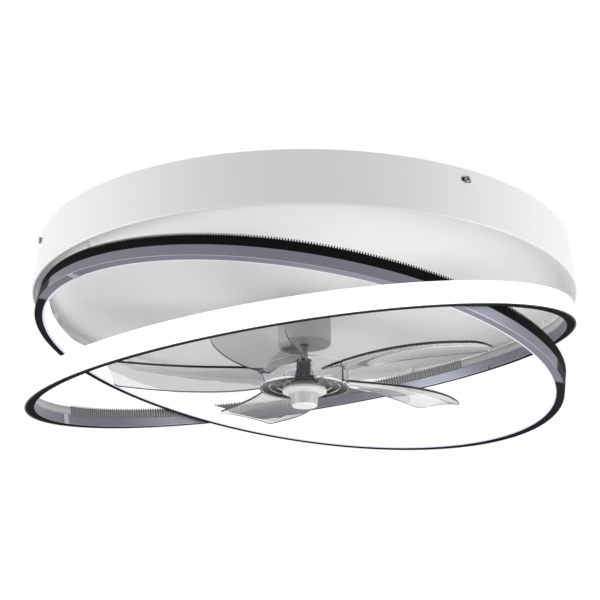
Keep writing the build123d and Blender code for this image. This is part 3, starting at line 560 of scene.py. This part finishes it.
def even_grain(group, place, scale):
    """Noises for shade, gloss and height: slow changes with a fine grain, for paint and moulded plastic."""
    slow = noise(group, place, SLOW_SCALE, SLOW_DETAIL)
    middle = noise(group, place, MIDDLE_SCALE, MIDDLE_DETAIL)
    slow_part = math_node(group, "MULTIPLY", slow, SLOW_SHARE)
    middle_part = math_node(group, "MULTIPLY", middle, 1 - SLOW_SHARE)
    fine = noise(group, place, scale, FINE_DETAIL)
    return math_node(group, "ADD", slow_part, middle_part), middle, fine


def turned_lines(group, place, scale):
    """Noises for shade, gloss and height: the fine rings that turning leaves, round the fan's axis."""
    parts = group.nodes.new("ShaderNodeSeparateXYZ")
    group.links.new(place, parts.inputs["Vector"])
    across = group.nodes.new("ShaderNodeCombineXYZ")
    group.links.new(flat_radius(group, parts), across.inputs["X"])
    group.links.new(parts.outputs["Z"], across.inputs["Y"])
    lines = noise(group, across.outputs["Vector"], scale, FINE_DETAIL)
    return lines, noise(group, place, METAL_SLOW_SCALE, SLOW_DETAIL), lines


def finish_group(name, noises):
    """A group that changes a finish's shade and gloss and gives its height, by a set of three noises."""
    found = bpy.data.node_groups.get(name)
    if found:
        return found
    inputs = [
        ("Colour", "NodeSocketColor", (0.8, 0.8, 0.8, 1)),
        ("Shade Change", "NodeSocketFloat", 0.04),
        ("Roughness", "NodeSocketFloat", 0.4),
        ("Gloss Change", "NodeSocketFloat", 0.3),
        ("Scale", "NodeSocketFloat", 700.0),
    ]
    outputs = [("Colour", "NodeSocketColor"), ("Roughness", "NodeSocketFloat"), ("Height", "NodeSocketFloat")]
    group, enter, leave = link_group(name, inputs, outputs)
    place = group.nodes.new("ShaderNodeTexCoord").outputs["Object"]
    tone, wear, height = noises(group, place, enter.outputs["Scale"])
    factor = around_one(group, tone, enter.outputs["Shade Change"])
    group.links.new(shade(group, enter.outputs["Colour"], factor), leave.inputs["Colour"])
    gloss = around_one(group, wear, enter.outputs["Gloss Change"])
    roughness = math_node(group, "MULTIPLY", enter.outputs["Roughness"], gloss)
    group.links.new(roughness, leave.inputs["Roughness"])
    group.links.new(height, leave.inputs["Height"])
    return group


def ring_zones_group():
    """Masks on a ring in its own frame.

    They are the bottom face, the edge above it with its painted highlight, the parts of the wall and of
    the bottom painted as a dark reflection, and what lies deep from the ring's back.
    """
    found = bpy.data.node_groups.get("ring_zones")
    if found:
        return found
    inputs = [
        ("Place", "NodeSocketVector", (0, 0, 0)),
        ("Bottom Height", "NodeSocketFloat", 0.0),
        ("Edge Height", "NodeSocketFloat", 0.0),
        ("Grey Way", "NodeSocketVector", (1, 0, 0)),
        ("Grey From", "NodeSocketFloat", 0.0),
        ("Back Radius", "NodeSocketFloat", 0.25),
        ("Deep From", "NodeSocketFloat", 0.0),
    ]
    outputs = [
        ("Bottom", "NodeSocketFloat"), ("Edge", "NodeSocketFloat"), ("Dark Part", "NodeSocketFloat"),
        ("Dark Bottom", "NodeSocketFloat"), ("Deep", "NodeSocketFloat"),
    ]
    group, enter, leave = link_group("ring_zones", inputs, outputs)
    parts = group.nodes.new("ShaderNodeSeparateXYZ")
    group.links.new(enter.outputs["Place"], parts.inputs["Vector"])
    bottom, edge = enter.outputs["Bottom Height"], enter.outputs["Edge Height"]
    face_top = math_node(group, "ADD", bottom, ZONE_DEPTH)
    above_face = ramp(group, parts.outputs["Z"], bottom, face_top)
    under_edge = ramp(group, parts.outputs["Z"], math_node(group, "ADD", edge, ZONE_DEPTH), edge)
    group.links.new(math_node(group, "SUBTRACT", 1.0, above_face), leave.inputs["Bottom"])
    group.links.new(math_node(group, "MULTIPLY", above_face, under_edge), leave.inputs["Edge"])
    along = group.nodes.new("ShaderNodeVectorMath")
    along.operation = "DOT_PRODUCT"
    group.links.new(enter.outputs["Place"], along.inputs[0])
    group.links.new(enter.outputs["Grey Way"], along.inputs[1])
    limit = enter.outputs["Grey From"]
    dark = ramp(group, along.outputs["Value"], limit, math_node(group, "SUBTRACT", limit, RING_ZONE_BLEND))
    group.links.new(dark, leave.inputs["Dark Part"])
    limit = math_node(group, "SUBTRACT", limit, RING_BOTTOM_SHIFT)
    dark = ramp(group, along.outputs["Value"], limit, math_node(group, "SUBTRACT", limit, RING_ZONE_BLEND))
    group.links.new(dark, leave.inputs["Dark Bottom"])
    depth = math_node(group, "SUBTRACT", flat_radius(group, parts), enter.outputs["Back Radius"])
    depth = math_node(group, "ABSOLUTE", depth, 0.0)
    deep_from = enter.outputs["Deep From"]
    deep = ramp(group, depth, deep_from, math_node(group, "ADD", deep_from, ZONE_DEPTH))
    group.links.new(deep, leave.inputs["Deep"])
    return group


# Materials
def empty_material(name):
    """A material with nothing but its shader and its output."""
    material = bpy.data.materials.new(name)
    material.use_nodes = True
    tree = material.node_tree
    tree.nodes.clear()
    shader = tree.nodes.new("ShaderNodeBsdfPrincipled")
    output = tree.nodes.new("ShaderNodeOutputMaterial")
    tree.links.new(shader.outputs["BSDF"], output.inputs["Surface"])
    return material, tree, shader


def grained(
    name, colour, roughness, scale, bump, metallic=0.0, shade_change=0.04, gloss_change=0.3, turned=False
):
    """A material of one colour with a group for its shade, gloss and fine grain, or for its turned lines."""
    found = bpy.data.materials.get(name)
    if found:
        return found
    material, tree, shader = empty_material(name)
    surface = tree.nodes.new("ShaderNodeGroup")
    kind = ("turned_lines", turned_lines) if turned else ("even_grain", even_grain)
    surface.node_tree = finish_group(*kind)
    surface.inputs["Colour"].default_value = (*colour, 1)
    surface.inputs["Shade Change"].default_value = shade_change
    surface.inputs["Roughness"].default_value = roughness
    surface.inputs["Gloss Change"].default_value = gloss_change
    surface.inputs["Scale"].default_value = scale
    relief = tree.nodes.new("ShaderNodeBump")
    relief.inputs["Distance"].default_value = bump
    tree.links.new(surface.outputs["Height"], relief.inputs["Height"])
    tree.links.new(surface.outputs["Colour"], shader.inputs["Base Color"])
    tree.links.new(surface.outputs["Roughness"], shader.inputs["Roughness"])
    tree.links.new(relief.outputs["Normal"], shader.inputs["Normal"])
    shader.inputs["Metallic"].default_value = metallic
    return material


def find_shader(material):
    """The shader of a material."""
    return next(node for node in material.node_tree.nodes if node.type == "BSDF_PRINCIPLED")


def set_shader(material, **values):
    """Constants on the shader's own sockets."""
    shader = find_shader(material)
    for label, value in values.items():
        shader.inputs[label.replace("_", " ")].default_value = value
    return material


def casing_paint(colours):
    """White powder coat with a thin gloss."""
    paint = grained(
        "casing_powder_coat", colours.paint, roughness=0.42, scale=620.0, bump=0.06 * MM, gloss_change=0.2
    )
    return set_shader(paint, Coat_Weight=0.12, Coat_Roughness=0.25)


def ring_place(tree, ring):
    """Object coordinates turned into the ring's own frame."""
    place = tree.nodes.new("ShaderNodeTexCoord").outputs["Object"]
    turned = tree.nodes.new("ShaderNodeMapping")
    turned.vector_type = "TEXTURE"
    matrix = ring_matrix(ring)
    turned.inputs["Location"].default_value = matrix.to_translation()
    turned.inputs["Rotation"].default_value = matrix.to_euler()
    tree.links.new(place, turned.inputs["Vector"])
    return turned.outputs["Vector"]


def zoned(material, ring, sizes, edge_height, deep_from):
    """Add the masks of a ring's zones to a material, and find its colour and shader."""
    tree = material.node_tree
    zones = tree.nodes.new("ShaderNodeGroup")
    zones.node_tree = ring_zones_group()
    tree.links.new(ring_place(tree, ring), zones.inputs["Place"])
    bottom = -sizes.ring_height / 2
    zones.inputs["Bottom Height"].default_value = bottom + ZONE_DEPTH / 2
    zones.inputs["Edge Height"].default_value = bottom + edge_height
    zones.inputs["Grey Way"].default_value = (math.cos(ring["grey_way"]), math.sin(ring["grey_way"]), 0)
    zones.inputs["Grey From"].default_value = ring["grey_from"]
    zones.inputs["Back Radius"].default_value = ring["back_radius"]
    zones.inputs["Deep From"].default_value = deep_from
    shader = find_shader(material)
    colour = shader.inputs["Base Color"].links[0].from_socket
    return tree, zones.outputs, colour, shader


def ring_paint_with_painted_light(name, ring, colours, sizes):
    """Satin grey with painted light and shade: a highlight on its lower edge, a paler bottom face, a glow on
    the lip beside the diffuser, and near black as a dark reflection on the wall and bottom past the grey
    part.
    """
    # Painted light: the larger ring's metal is painted paler than the smaller ring's, by its share
    metal = tuple(level * ring["metal_painted_light"] for level in colours.ring_metal)
    paint = grained(
        name + "_satin_grey", metal, roughness=0.36, scale=900.0, bump=0.03 * MM, shade_change=0.08
    )
    set_shader(paint, Specular_IOR_Level=0.0)
    tree, zones, colour, shader = zoned(paint, ring, sizes, sizes.ring_edge_highlight, RING_GLOW_DEPTH)
    # Painted dark reflection: the wall and the bottom face past the grey near part are painted near black
    not_bottom = math_node(tree, "SUBTRACT", 1.0, zones["Bottom"])
    wall_dark = math_node(tree, "MULTIPLY", zones["Dark Part"], not_bottom)
    wall_dark = math_node(tree, "MULTIPLY", wall_dark, ring["dark_reflection_wall"])
    bottom_dark = math_node(tree, "MULTIPLY", zones["Dark Bottom"], zones["Bottom"])
    dark = math_node(tree, "MAXIMUM", wall_dark, bottom_dark)
    # Painted glow on the bottom face's inner lip beside the diffuser
    lip = math_node(tree, "MULTIPLY", zones["Deep"], zones["Bottom"])
    # Painted highlight on the lower edge of the wall
    edged = mix_colour(tree, zones["Edge"], colour, colours.ring_edge_highlight)
    # The bottom face's grey part is painted paler, as light
    bottomed = mix_colour(tree, zones["Bottom"], edged, colours.ring_bottom_lit)
    darkened = mix_colour(tree, dark, bottomed, colours.ring_dark_reflection)
    tree.links.new(mix_colour(tree, lip, darkened, colours.ring_lip_glow), shader.inputs["Base Color"])
    bright = math_node(tree, "SUBTRACT", 1.0, math_node(tree, "MAXIMUM", dark, lip))
    tree.links.new(math_node(tree, "MULTIPLY", bright, RING_METALLIC), shader.inputs["Metallic"])
    return paint


def diffuser_with_painted_shade(name, ring, colours, sizes):
    """Opal white that glows, with painted shade on its lower edge and on its inner side in the channel."""
    opal = grained(
        name + "_opal", colours.diffuser, roughness=0.5, scale=1200.0, bump=0.02 * MM, shade_change=0.02
    )
    set_shader(opal, Emission_Strength=0.75)
    tree, zones, colour, shader = zoned(opal, ring, sizes, ring["painted_foot_height"], DIFFUSER_SHADE_DEPTH)
    # Painted shade: a darker foot, near black on the larger ring, and a grey inner side that doesn't glow
    low = math_node(tree, "MAXIMUM", zones["Bottom"], zones["Edge"])
    inner = math_node(tree, "SUBTRACT", 1.0, zones["Deep"])
    shown = mix_colour(tree, inner, colour, colours.ring_metal)
    foot = tuple(level * ring["painted_foot_shade"] for level in colours.diffuser_edge_shade)
    tree.links.new(mix_colour(tree, low, shown, foot), shader.inputs["Base Color"])
    glow = mix_colour(tree, inner, WHITE, BLACK)
    tree.links.new(mix_colour(tree, low, glow, foot), shader.inputs["Emission Color"])
    return opal


def clear_plastic(name, tint, ior):
    """Polished clear plastic of one tint; a lower index shows less of the room in it."""
    clear = grained(name, tint, roughness=0.03, scale=160.0, bump=0.006 * MM, gloss_change=0.8)
    return set_shader(clear, Transmission_Weight=1.0, IOR=ior)


def painted_bands(material, bands):
    """Paint light and shade on a piece: another shade above each height, as a share of the shade at its foot.
    """
    tree = material.node_tree
    shader = find_shader(material)
    colour = shader.inputs["Base Color"].links[0].from_socket
    parts = tree.nodes.new("ShaderNodeSeparateXYZ")
    tree.links.new(tree.nodes.new("ShaderNodeTexCoord").outputs["Object"], parts.inputs["Vector"])
    factor, last_share = 1.0, 1.0
    for height, share in bands:
        above = ramp(tree, parts.outputs["Z"], height, height + ZONE_DEPTH)
        factor = math_node(tree, "ADD", math_node(tree, "MULTIPLY", above, share - last_share), factor)
        last_share = share
    tree.links.new(shade(tree, colour, factor), shader.inputs["Base Color"])
    return material


def cap_painted_shade(colours, sizes):
    """White plastic of the lock cap, with painted shade on its body and neck and lighter painted shade on its
    flange.
    """
    plastic = grained("lock_cap_plastic", colours.cap, roughness=0.3, scale=500.0, bump=0.02 * MM)
    body_z = CAP_FOOT_Z + sizes.cap_body_height
    neck_z = body_z + sizes.cap_step_height + sizes.cap_flange_height
    foot_z = CAP_FOOT_Z + sizes.cap_foot_round
    return painted_bands(plastic, [(foot_z, CAP_BODY_SHADE), (body_z, CAP_FLANGE_SHADE), (neck_z, CAP_BODY_SHADE)])


def canopy_coat_painted_light(colours):
    """Grey coat of the neck cover, with its side painted darker than its bottom face as shade."""
    coat = grained("canopy_grey_coat", colours.canopy, roughness=0.42, scale=620.0, bump=0.06 * MM)
    return painted_bands(coat, [(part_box("canopy")[0][2] + CANOPY_LIT_BAND, CANOPY_SIDE_SHADE)])


def plain_finish(slot):
    """The finish of a piece that carries, fastens or drives, by its slot in the record."""
    return grained(colour=record_colour(slot), **PLAIN_FINISHES[slot])


def dress(node, material):
    """Give a CAD node its finish through its object's material slots."""
    for place in frame["nodes"][node].material_slots:
        place.material = material


# Operators, one for each piece or group of like pieces
class FAN_OT_casing(bpy.types.Operator):
    """Paint the casing, its neck cover and the posts of the rings"""

    bl_idname = "fan.casing"
    bl_label = "Casing"

    def execute(self, context):
        colours = context.scene.fan_colours
        paint = casing_paint(colours)
        dress("casing", paint)
        dress("canopy", canopy_coat_painted_light(colours))
        for node in ("ring_1_posts", "ring_2_posts"):
            dress(node, paint)
        return {"FINISHED"}


class FAN_OT_ceiling_plate(bpy.types.Operator):
    """Finish the ceiling plate, its grommet and the boxes on it"""

    bl_idname = "fan.ceiling_plate"
    bl_label = "Ceiling plate and boxes"

    def execute(self, context):
        dress("ceiling_plate", plain_finish("zinc_steel"))
        dress("cable_grommet", plain_finish("rubber"))
        for node in ("driver_case", "driver_lid", "receiver_box", "terminal_block"):
            dress(node, plain_finish("box_plastic"))
        return {"FINISHED"}


class FAN_OT_motor(bpy.types.Operator):
    """Finish the motor, its bearings and its rotor"""

    bl_idname = "fan.motor"
    bl_label = "Motor"

    def execute(self, context):
        for node in ("motor_case", "end_shield"):
            dress(node, plain_finish("motor_aluminium"))
        for node in ("upper_bearing", "lower_bearing", "rotor_clip"):
            dress(node, plain_finish("shaft_steel"))
        for node in ("stator_core", "rotor_core"):
            dress(node, plain_finish("core_steel"))
        dress("rotor_magnets", plain_finish("magnet"))
        dress("stator_coils", plain_finish("copper"))
        return {"FINISHED"}


class FAN_OT_fasteners(bpy.types.Operator):
    """Finish the screws, nuts and rivets"""

    bl_idname = "fan.fasteners"
    bl_label = "Fasteners"

    def execute(self, context):
        colours = context.scene.fan_colours
        for node in frame["nodes"]:
            if node.endswith(("screws", "nuts")):
                dress(node, plain_finish("screw_steel"))
        dark = grained(
            "dark_nickel_plating", colours.side_screws, roughness=0.16, scale=1400.0, bump=0.03 * MM,
            metallic=1.0, shade_change=0.1,
        )
        dress("side_screws", dark)
        rivets = grained(
            "rivet_satin_grey", colours.ring_metal, roughness=0.36, scale=900.0, bump=0.03 * MM,
            metallic=RING_METALLIC,
        )
        for node in ("crossing_rivets", "ring_1_screws", "ring_2_screws"):
            dress(node, rivets)
        return {"FINISHED"}


class FAN_OT_drive(bpy.types.Operator):
    """Finish the shaft, the boss that it turns and the lock cap"""

    bl_idname = "fan.drive"
    bl_label = "Shaft, boss and lock cap"

    def execute(self, context):
        sizes, colours = context.scene.fan_sizes, context.scene.fan_colours
        steel = grained(
            "dull_shaft_steel", colours.shaft, roughness=0.3, scale=2600.0, bump=0.03 * MM, metallic=0.8,
            shade_change=0.2, turned=True,
        )
        for node in ("shaft", "drive_pin"):
            dress(node, steel)
        dress("hub_boss", plain_finish("dark_plastic"))
        plastic = cap_painted_shade(colours, sizes)
        piece = finish_mesh("turned_lock_cap", make_cap(sizes), "rotor", [plastic])
        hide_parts("lock_cap")
        return {"FINISHED"}


def make_cap(sizes):
    """The lock cap as one turned shape: foot, body, step, flange and neck, with the bore for the shaft."""
    body_z = CAP_FOOT_Z + sizes.cap_body_height
    step_z = body_z + sizes.cap_step_height
    flange_z = step_z + sizes.cap_flange_height
    top_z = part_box("lock_cap")[1][2]
    bore_z = CAP_FOOT_Z + sizes.cap_skin
    corners = [
        (0, CAP_FOOT_Z), (sizes.cap_foot_radius, CAP_FOOT_Z), (sizes.cap_body_radius, body_z),
        (sizes.cap_step_radius, body_z), (sizes.cap_step_radius, step_z), (sizes.cap_flange_radius, step_z),
        (sizes.cap_flange_radius, flange_z), (sizes.cap_neck_radius, flange_z),
        (sizes.cap_neck_radius, top_z), (sizes.cap_bore_radius, top_z), (sizes.cap_bore_radius, bore_z),
        (0, bore_z),
    ]
    cap = bmesh.new()
    profile = [cap.verts.new((radius, 0, height)) for radius, height in corners]
    for first, second in zip(profile, profile[1:]):
        cap.edges.new((first, second))
    rims = [vertex for vertex in profile if vertex.co.x > sizes.cap_flange_radius - sizes.weld]
    foot = [profile[1]]
    for bent, width in ((rims, sizes.cap_round), (foot, sizes.cap_foot_round)):
        bmesh.ops.bevel(
            cap, geom=bent, offset=width, offset_type="OFFSET", affect="VERTICES", segments=CAP_SEGMENTS,
            profile=0.5, material=-1,
        )
    bmesh.ops.spin(
        cap, geom=cap.verts[:] + cap.edges[:], cent=(0, 0, 0), axis=(0, 0, 1), angle=2 * math.pi,
        steps=CAP_STEPS, use_merge=True,
    )
    bmesh.ops.remove_doubles(cap, verts=cap.verts, dist=sizes.weld)
    bmesh.ops.recalc_face_normals(cap, faces=cap.faces)
    smooth_with_creases(cap)
    return cap


class FAN_OT_impeller(bpy.types.Operator):
    """Make the clear moulding with its five blades and its hub, with painted shade on its edges and the hub's
    floor
    """

    bl_idname = "fan.impeller"
    bl_label = "Clear impeller"

    def execute(self, context):
        sizes, colours = context.scene.fan_sizes, context.scene.fan_colours
        moulding = bmesh.new()
        moulding.from_mesh(frame["nodes"]["impeller"].data)
        bmesh.ops.remove_doubles(moulding, verts=moulding.verts, dist=sizes.weld)
        slope_hub_floor(moulding, sizes)
        smooth_with_creases(moulding)
        for face in moulding.faces:
            face.material_index = moulding_zone(face, sizes)
        # The edges and the hub's floor get dark tints, painted shade on the clear moulding
        plastics = [
            clear_plastic("clear_blade", colours.blade, BLADE_INDEX),
            clear_plastic("clear_edge", colours.blade_edge_shade, BLADE_INDEX),
            clear_plastic("clear_hub", colours.hub, HUB_INDEX),
            clear_plastic("clear_hub_floor", colours.hub_floor, HUB_INDEX),
        ]
        piece = finish_mesh("clear_impeller", moulding, "rotor", plastics)
        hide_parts("impeller")
        return {"FINISHED"}


def slope_hub_floor(moulding, sizes):
    """Turn the hub's flat floor into a low cone, highest round the lock cap."""
    top = HUB_FOOT_Z + sizes.hub_floor_top + sizes.weld
    outer = sizes.hub_radius - sizes.hub_wall
    for vertex in moulding.verts:
        radius = math.hypot(vertex.co.x, vertex.co.y)
        above_foot = vertex.co.z - HUB_FOOT_Z > FLOOR_FOOT_SHARE * sizes.hub_floor_top
        if sizes.cap_neck_radius < radius < outer and vertex.co.z < top and above_foot:
            share = (radius - sizes.cap_neck_radius) / (outer - sizes.cap_neck_radius)
            vertex.co.z -= share * sizes.hub_floor_slope


def moulding_zone(face, sizes):
    """Which plastic a face of the moulding shows, by its place in the list of plastics."""
    centre = face.calc_center_median()
    radius = math.hypot(centre.x, centre.y)
    height = centre.z - HUB_FOOT_Z
    level = abs(face.normal.z) > LEVEL_SHARE
    # Edge faces and the hub's floor take the dark tints painted as shade
    if radius > sizes.hub_radius:
        return BLADE if level else EDGE
    if radius < sizes.cap_neck_radius:
        return HUB_WALL
    rim = radius > sizes.hub_radius - 2 * sizes.hub_wall
    if level and rim and not 0 < height - sizes.hub_wall / 2 < sizes.hub_height - sizes.hub_wall:
        return EDGE
    return HUB_FLOOR if level and height < sizes.hub_floor_top + sizes.hub_wall / 2 else HUB_WALL


class FAN_OT_rings(bpy.types.Operator):
    """Finish the ring profiles, their diffusers, light tapes and joint plates"""

    bl_idname = "fan.rings"
    bl_label = "Light rings"

    def execute(self, context):
        sizes, colours = context.scene.fan_sizes, context.scene.fan_colours
        for name, ring in RINGS.items():
            dress(name + "_channel", ring_paint_with_painted_light(name, ring, colours, sizes))
            dress(name + "_diffuser", diffuser_with_painted_shade(name, ring, colours, sizes))
            dress(name + "_led_tape", plain_finish("led_tape"))
            dress(name + "_joiner", plain_finish("joiner_metal"))
        return {"FINISHED"}


class FAN_OT_strips(bpy.types.Operator):
    """Make the ribbed strips on the backs of the rings"""

    bl_idname = "fan.strips"
    bl_label = "Ribbed strips"

    def execute(self, context):
        sizes, colours = context.scene.fan_sizes, context.scene.fan_colours
        grain = dict(scale=1500.0, bump=0.03 * MM, shade_change=0.2)
        black = grained("strip_black", colours.strip, roughness=0.6, **grain)
        set_shader(black, Specular_IOR_Level=0.05)
        # Painted reflection: the larger ring's strip is painted pale and grey; the smaller ring's keeps its
        # black
        gaps = grained("strip_gaps", colours.strip_gap_reflection, roughness=0.5, **grain)
        grey = grained("strip_grey", colours.strip_ribs_reflection, roughness=0.4, **grain)
        plastics = {"ring_1": (black, black), "ring_2": (gaps, grey)}
        for name, ring in RINGS.items():
            strip = make_strip(name, ring, sizes, *plastics[name])
            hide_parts(name + "_strip")
        return {"FINISHED"}


def make_strip(name, ring, sizes, band_material, rib_material):
    """A band with pointed ribs, turned round a ring's leaning axis."""
    facing = ring["facing"]
    rib_face = ring["back_radius"] + facing * sizes.strip_inset
    band_face = rib_face + facing * sizes.rib_depth
    band_back = rib_face + facing * sizes.strip_thickness
    foot, top = sizes.strip_foot, sizes.ring_height / 2 - sizes.tip_root
    count = round(2 * math.pi * rib_face / ring["rib_pitch"])
    first, last = ring["ribs"]
    rib_count = round(count * (last - first) / (2 * math.pi))
    strip = bmesh.new()
    corners = [(band_face, foot), (band_back, foot), (band_back, top), (band_face, top)]
    profile = [strip.verts.new((radius, 0, height)) for radius, height in corners]
    edges = [strip.edges.new(pair) for pair in zip(profile, profile[1:] + profile[:1])]
    bmesh.ops.spin(
        strip, geom=profile + edges, cent=(0, 0, 0), axis=(0, 0, 1), angle=2 * math.pi, steps=BAND_STEPS,
        use_merge=True,
    )
    bmesh.ops.recalc_face_normals(strip, faces=strip.faces)
    for face in strip.faces:
        face.smooth = True
    rib = bmesh.ops.create_cube(strip, size=1)["verts"]
    bmesh.ops.scale(strip, vec=(sizes.rib_depth, sizes.rib_share * ring["rib_pitch"], top - foot), verts=rib)
    middle = ((rib_face + band_face) / 2, 0, (top + foot) / 2)
    bmesh.ops.translate(strip, vec=middle, verts=rib)
    bmesh.ops.rotate(strip, cent=(0, 0, 0), matrix=Matrix.Rotation(first, 3, "Z"), verts=rib)
    faces = list({face for vertex in rib for face in vertex.link_faces})
    crown = max(faces, key=lambda face: face.calc_center_median().z)
    tip = bmesh.ops.extrude_discrete_faces(strip, faces=[crown])["faces"][0]
    bmesh.ops.translate(strip, vec=(0, 0, sizes.tip_rise + sizes.tip_root), verts=tip.verts)
    to_tip = Matrix.Translation(tip.calc_center_median())
    bmesh.ops.scale(strip, vec=(1, TIP_SHARE, 1), space=to_tip.inverted(), verts=tip.verts)
    verts = rib + tip.verts[:]
    faces = list({face for vertex in verts for face in vertex.link_faces})
    edges = list({edge for vertex in verts for edge in vertex.link_edges})
    for face in faces:
        face.material_index = RIB_SLOT
    bmesh.ops.spin(
        strip, geom=verts + edges + faces, cent=(0, 0, 0), axis=(0, 0, 1),
        angle=2 * math.pi * (rib_count - 1) / count, steps=rib_count - 1, use_duplicate=True,
    )
    bmesh.ops.transform(strip, matrix=ring_matrix(ring), verts=strip.verts)
    return finish_mesh(name + "_ribbed_strip", strip, "fixture", [band_material, rib_material])


class FAN_OT_stage(bpy.types.Operator):
    """Make the floor, the light and the camera"""

    bl_idname = "fan.stage"
    bl_label = "Stage"

    def execute(self, context):
        stage = context.scene.fan_stage
        make_floor(stage)
        make_sky(stage)
        for name, (place, aim, size, power) in LAMPS.items():
            make_lamp(name, Vector(place), Vector(aim), getattr(stage, power), size)
        make_camera(stage)
        context.scene.view_settings.view_transform = "Standard"
        return {"FINISHED"}


def make_floor(stage):
    """A round pale floor under the fan."""
    floor = bmesh.new()
    bmesh.ops.create_circle(floor, cap_ends=True, radius=stage.floor_radius, segments=FLOOR_SEGMENTS)
    bmesh.ops.translate(floor, vec=(0, 0, stage.floor_z), verts=floor.verts)
    mesh_object("floor", floor, [floor_finish(stage)])


def seen_rays(tree):
    """One where the camera, a gloss or clear plastic looks, and nought for light that bounces."""
    path = tree.nodes.new("ShaderNodeLightPath")
    seen = math_node(tree, "MAXIMUM", path.outputs["Is Camera Ray"], path.outputs["Is Glossy Ray"])
    return math_node(tree, "MAXIMUM", seen, path.outputs["Is Transmission Ray"])


def floor_finish(stage):
    """Pale floor that keeps its shadows and is lifted where it is seen."""
    finish = grained("pale_floor", stage.floor_colour, roughness=0.8, scale=40.0, bump=0.1 * MM)
    tree = finish.node_tree
    lift = math_node(tree, "MULTIPLY", seen_rays(tree), FLOOR_LIFT)
    tree.links.new(lift, find_shader(finish).inputs["Emission Strength"])
    return set_shader(finish, Emission_Color=(*WHITE, 1))


def make_sky(stage):
    """Even light, and plain white where the camera, a gloss or clear plastic looks past the fan."""
    world = bpy.data.worlds.new("studio")
    bpy.context.scene.world = world
    world.use_nodes = True
    tree = world.node_tree
    tree.nodes.clear()
    mix = tree.nodes.new("ShaderNodeMixShader")
    tree.links.new(seen_rays(tree), mix.inputs["Fac"])
    for place, level in ((1, stage.sky_level), (2, 1.0)):
        light = tree.nodes.new("ShaderNodeBackground")
        light.inputs["Color"].default_value = (*WHITE, 1)
        light.inputs["Strength"].default_value = level
        tree.links.new(light.outputs["Background"], mix.inputs[place])
    output = tree.nodes.new("ShaderNodeOutputWorld")
    tree.links.new(mix.outputs["Shader"], output.inputs["Surface"])


def make_lamp(name, place, aim, power, size):
    """A round lamp that the camera doesn't see."""
    light = bpy.data.lights.new(name, "AREA")
    light.energy = power
    light.shape = "DISK"
    light.size = size
    lamp = bpy.data.objects.new(name, light)
    lamp.location = place
    lamp.rotation_euler = (place - aim).to_track_quat("Z", "Y").to_euler()
    lamp.visible_camera = False
    bpy.context.scene.collection.objects.link(lamp)


def make_camera(stage):
    """The camera, in front of the fan and below it, looking up."""
    data = bpy.data.cameras.new("camera")
    data.lens = stage.camera_lens
    data.sensor_width = SENSOR_WIDTH
    data.shift_x = stage.camera_shift
    camera = bpy.data.objects.new("camera", data)
    camera.location = (0, -stage.camera_back, -stage.camera_drop)
    camera.rotation_euler = (math.pi / 2 + stage.camera_pitch, 0, 0)
    bpy.context.scene.collection.objects.link(camera)
    bpy.context.scene.camera = camera


class FAN_PT_panel(bpy.types.Panel):
    """Lists the steps that dress the fan"""

    bl_idname = "FAN_PT_panel"
    bl_label = "Ceiling fan"
    bl_space_type = "VIEW_3D"
    bl_region_type = "UI"
    bl_category = "Ceiling fan"

    def draw(self, context):
        for step in STEPS:
            self.layout.operator(step.bl_idname)
        for group in (context.scene.fan_sizes, context.scene.fan_colours, context.scene.fan_stage):
            box = self.layout.box()
            for label in group.bl_rna.properties.keys():
                if label not in ("rna_type", "name"):
                    box.prop(group, label)


STEPS = (
    FAN_OT_casing,
    FAN_OT_ceiling_plate,
    FAN_OT_motor,
    FAN_OT_fasteners,
    FAN_OT_drive,
    FAN_OT_impeller,
    FAN_OT_rings,
    FAN_OT_strips,
    FAN_OT_stage,
)
CLASSES = (FanSizes, FanColours, StageSettings) + STEPS + (FAN_PT_panel,)


def register():
    """Register the classes and give each scene its settings."""
    for item in CLASSES:
        bpy.utils.register_class(item)
    bpy.types.Scene.fan_sizes = bpy.props.PointerProperty(type=FanSizes)
    bpy.types.Scene.fan_colours = bpy.props.PointerProperty(type=FanColours)
    bpy.types.Scene.fan_stage = bpy.props.PointerProperty(type=StageSettings)


def unregister():
    """Take the settings and the classes away again."""
    del bpy.types.Scene.fan_stage
    del bpy.types.Scene.fan_colours
    del bpy.types.Scene.fan_sizes
    for item in reversed(CLASSES):
        bpy.utils.unregister_class(item)


def main():
    """Run every step in order."""
    register()
    for step in STEPS:
        family, name = step.bl_idname.split(".")
        getattr(getattr(bpy.ops, family), name)()


if __name__ == "__main__":
    main()
